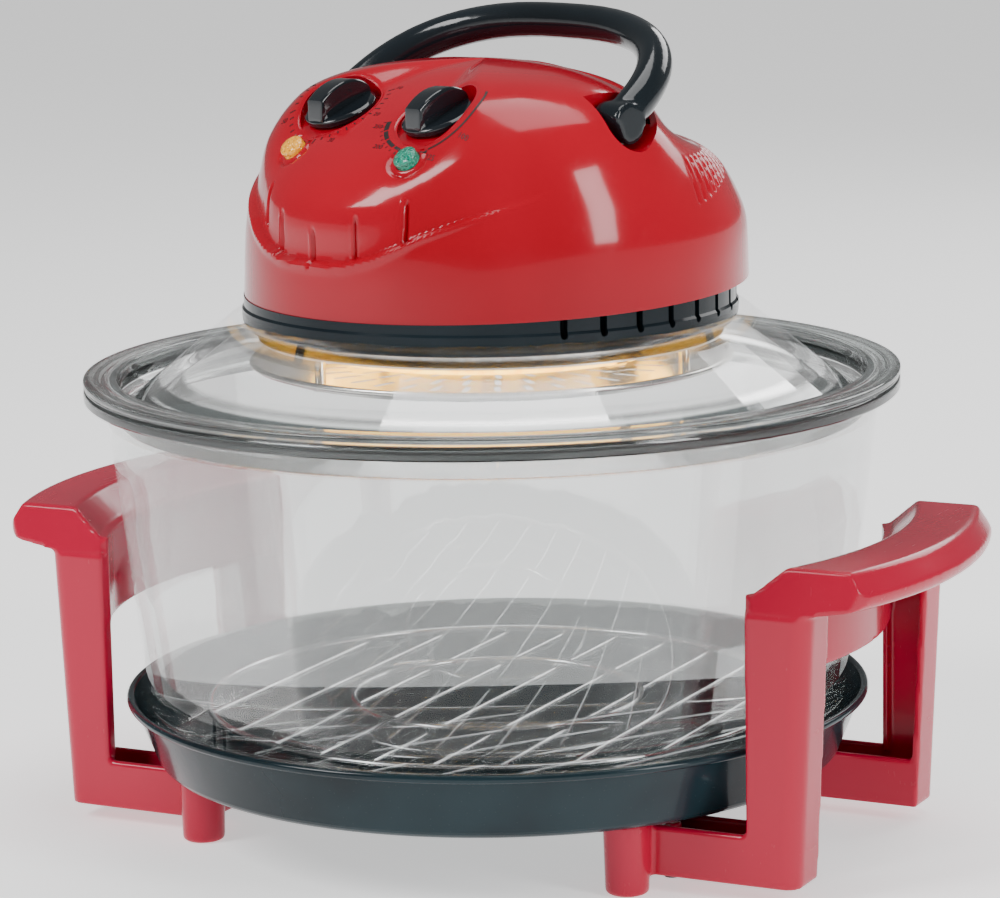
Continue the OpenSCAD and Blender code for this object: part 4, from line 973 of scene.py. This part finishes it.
def printed(outlines, place):
    # each outline, a list of (u, v), becomes a thin closed slab that follows the cover
    points, faces = [], []
    for outline, fills in outlines:
        tops = [onCover(place, u, v, inkHeight) for u, v in outline]
        lows = [onCover(place, u, v, -0.25) for u, v in outline]
        if any(p is None for p in tops + lows):
            continue
        start, count = len(points), len(outline)
        points += tops + lows
        border = {}
        for face in fills:
            faces.append(tuple(start + i for i in face))
            faces.append(tuple(start + count + i for i in reversed(face)))
            for i, k in zip(face, face[1:] + face[:1]):
                border[(i, k)] = (k, i) not in border
                if (k, i) in border:
                    border[(k, i)] = False
        faces += [(start + k, start + i, start + count + i, start + count + k)
                  for (i, k), edge in border.items() if edge]
    return points, faces


def arcBand(inner, outer, start, end, steps):
    outline, fills = [], []
    for k in range(steps + 1):
        a = math.radians(start + (end - start) * k / steps)
        outline += [(r * math.cos(a), r * math.sin(a)) for r in (inner, outer)]
    for k in range(steps):
        fills.append([2 * k, 2 * k + 1, 2 * k + 3, 2 * k + 2])
    return outline, fills


def numberShapes(text, u, v, size):
    curve = bpy.data.curves.new("number", "FONT")
    curve.body = text
    curve.size = size
    curve.align_x = "CENTER"
    curve.align_y = "CENTER"
    curve.resolution_u = 3
    thing = bpy.data.objects.new("number", curve)
    bpy.context.scene.collection.objects.link(thing)
    bpy.context.view_layer.update()
    mesh = bpy.data.meshes.new_from_object(thing.evaluated_get(bpy.context.evaluated_depsgraph_get()))
    bpy.data.objects.remove(thing)
    outline = [(p.co.x + u, p.co.y + v) for p in mesh.vertices]
    fills = [list(face.vertices) for face in mesh.polygons]
    return outline, fills


def dial(which):
    plan = dials[which]
    place = localAt(knobPoints[which], knobAxis)
    shapes = []
    if "heavy" in plan:
        start, end = plan["heavy"]
        for k in range(5):
            a = start + (end - start) * k / 5
            shapes.append(arcBand(20.6, 22.6 - 0.2 * k, a, a + (end - start) / 5 - 2.5, 6))
        shapes.append(arcBand(21.0, 21.9, *plan["light"], 30))
        for k in range(13):
            a = start + (end - start) * k / 12
            shapes.append(arcBand(22.9, 24.0, a, a + 0.9, 1))
    else:
        for k in range(plan["ticks"]):
            a = plan["from"] + (plan["to"] - plan["from"]) * k / (plan["ticks"] - 1)
            shapes.append(arcBand(20.2, 22.0 if k % 4 else 23.0, a, a + 1.5, 1))
    count = len(plan["numbers"])
    for k, text in enumerate(plan["numbers"]):
        a = math.radians(plan["from"] + (plan["to"] - plan["from"]) * k / (count - 1))
        shapes.append(numberShapes(text, plan["ring"] * math.cos(a), plan["ring"] * math.sin(a), 3.2))
    points, faces = printed(shapes, place)
    piece(which + "_dial_print", points, faces, "lid", "cover_red", finish=dialInk)


for which in dials:
    dial(which)
print("dials printed")


def stageSet():
    work = bmesh.new()
    bmesh.ops.create_grid(work, x_segments=2, y_segments=2, size=16)
    floor = placed("floor", work)
    shop = Shop("pale floor")
    tone = shop.blend(shop.noise(3.0), (0.86, 0.86, 0.86), (0.84, 0.84, 0.84))
    floor.data.materials.append(shop.finish({
        "Base Color": tone, "Roughness": 0.7, "Emission Color": (1.0, 1.0, 1.0),
        "Emission Strength": 0.75}))
    world = bpy.data.worlds.new("studio")
    bpy.context.scene.world = world
    world.use_nodes = True
    sky = world.node_tree.nodes["Background"]
    sky.inputs["Color"].default_value = (1.0, 1.0, 1.0, 1)
    sky.inputs["Strength"].default_value = 0.2


lights = {
    "key": {"from": (-1.1, -1.5, 1.7), "size": (0.8, 1.0), "power": 40},
    "side": {"from": (1.6, -0.4, 0.8), "size": (0.4, 1.0), "power": 16},
    "top": {"from": (0.1, 0.2, 2.0), "size": (1.4, 1.0), "power": 20},
    "rear": {"from": (0.4, 1.8, 1.2), "size": (1.6, 0.7), "power": 18},
}


def lightUp():
    target = Vector((0, 0, 0.2))
    for name, light in lights.items():
        lamp = bpy.data.lights.new(name, "AREA")
        lamp.shape = "RECTANGLE"
        lamp.size, lamp.size_y = light["size"]
        lamp.energy = light["power"]
        thing = bpy.data.objects.new(name, lamp)
        thing.location = light["from"]
        thing.rotation_euler = (target - Vector(light["from"])).to_track_quat("-Z", "Y").to_euler()
        bpy.context.scene.collection.objects.link(thing)


view = {"bearing": 26.8, "distance": 1.583, "height": 0.4495, "down": 10.59, "aside": 0.10,
        "roll": -1.06, "lens": 142.5}


def placeCamera():
    bearing = math.radians(view["bearing"])
    down, aside, roll = (math.radians(view[k]) for k in ("down", "aside", "roll"))
    level = math.cos(down)
    forward = Vector((math.sin(aside) * level, math.cos(aside) * level, -math.sin(down)))
    right = Vector((math.cos(aside), -math.sin(aside), 0))
    up = right.cross(forward)
    right, up = (math.cos(roll) * right + math.sin(roll) * up,
                 -math.sin(roll) * right + math.cos(roll) * up)
    turn = Matrix((right, up, -forward)).transposed()
    spin = Matrix.Rotation(bearing, 3, "Z")
    place = spin @ Vector((0, -view["distance"], view["height"]))
    lens = bpy.data.cameras.new("camera")
    lens.lens = view["lens"]
    lens.sensor_width = 36
    lens.clip_end = 50
    camera = bpy.data.objects.new("camera", lens)
    camera.matrix_world = Matrix.Translation(place) @ (spin @ turn).to_4x4()
    bpy.context.scene.collection.objects.link(camera)
    bpy.context.scene.camera = camera


stageSet()
lightUp()
placeCamera()

bpy.context.view_layer.update()
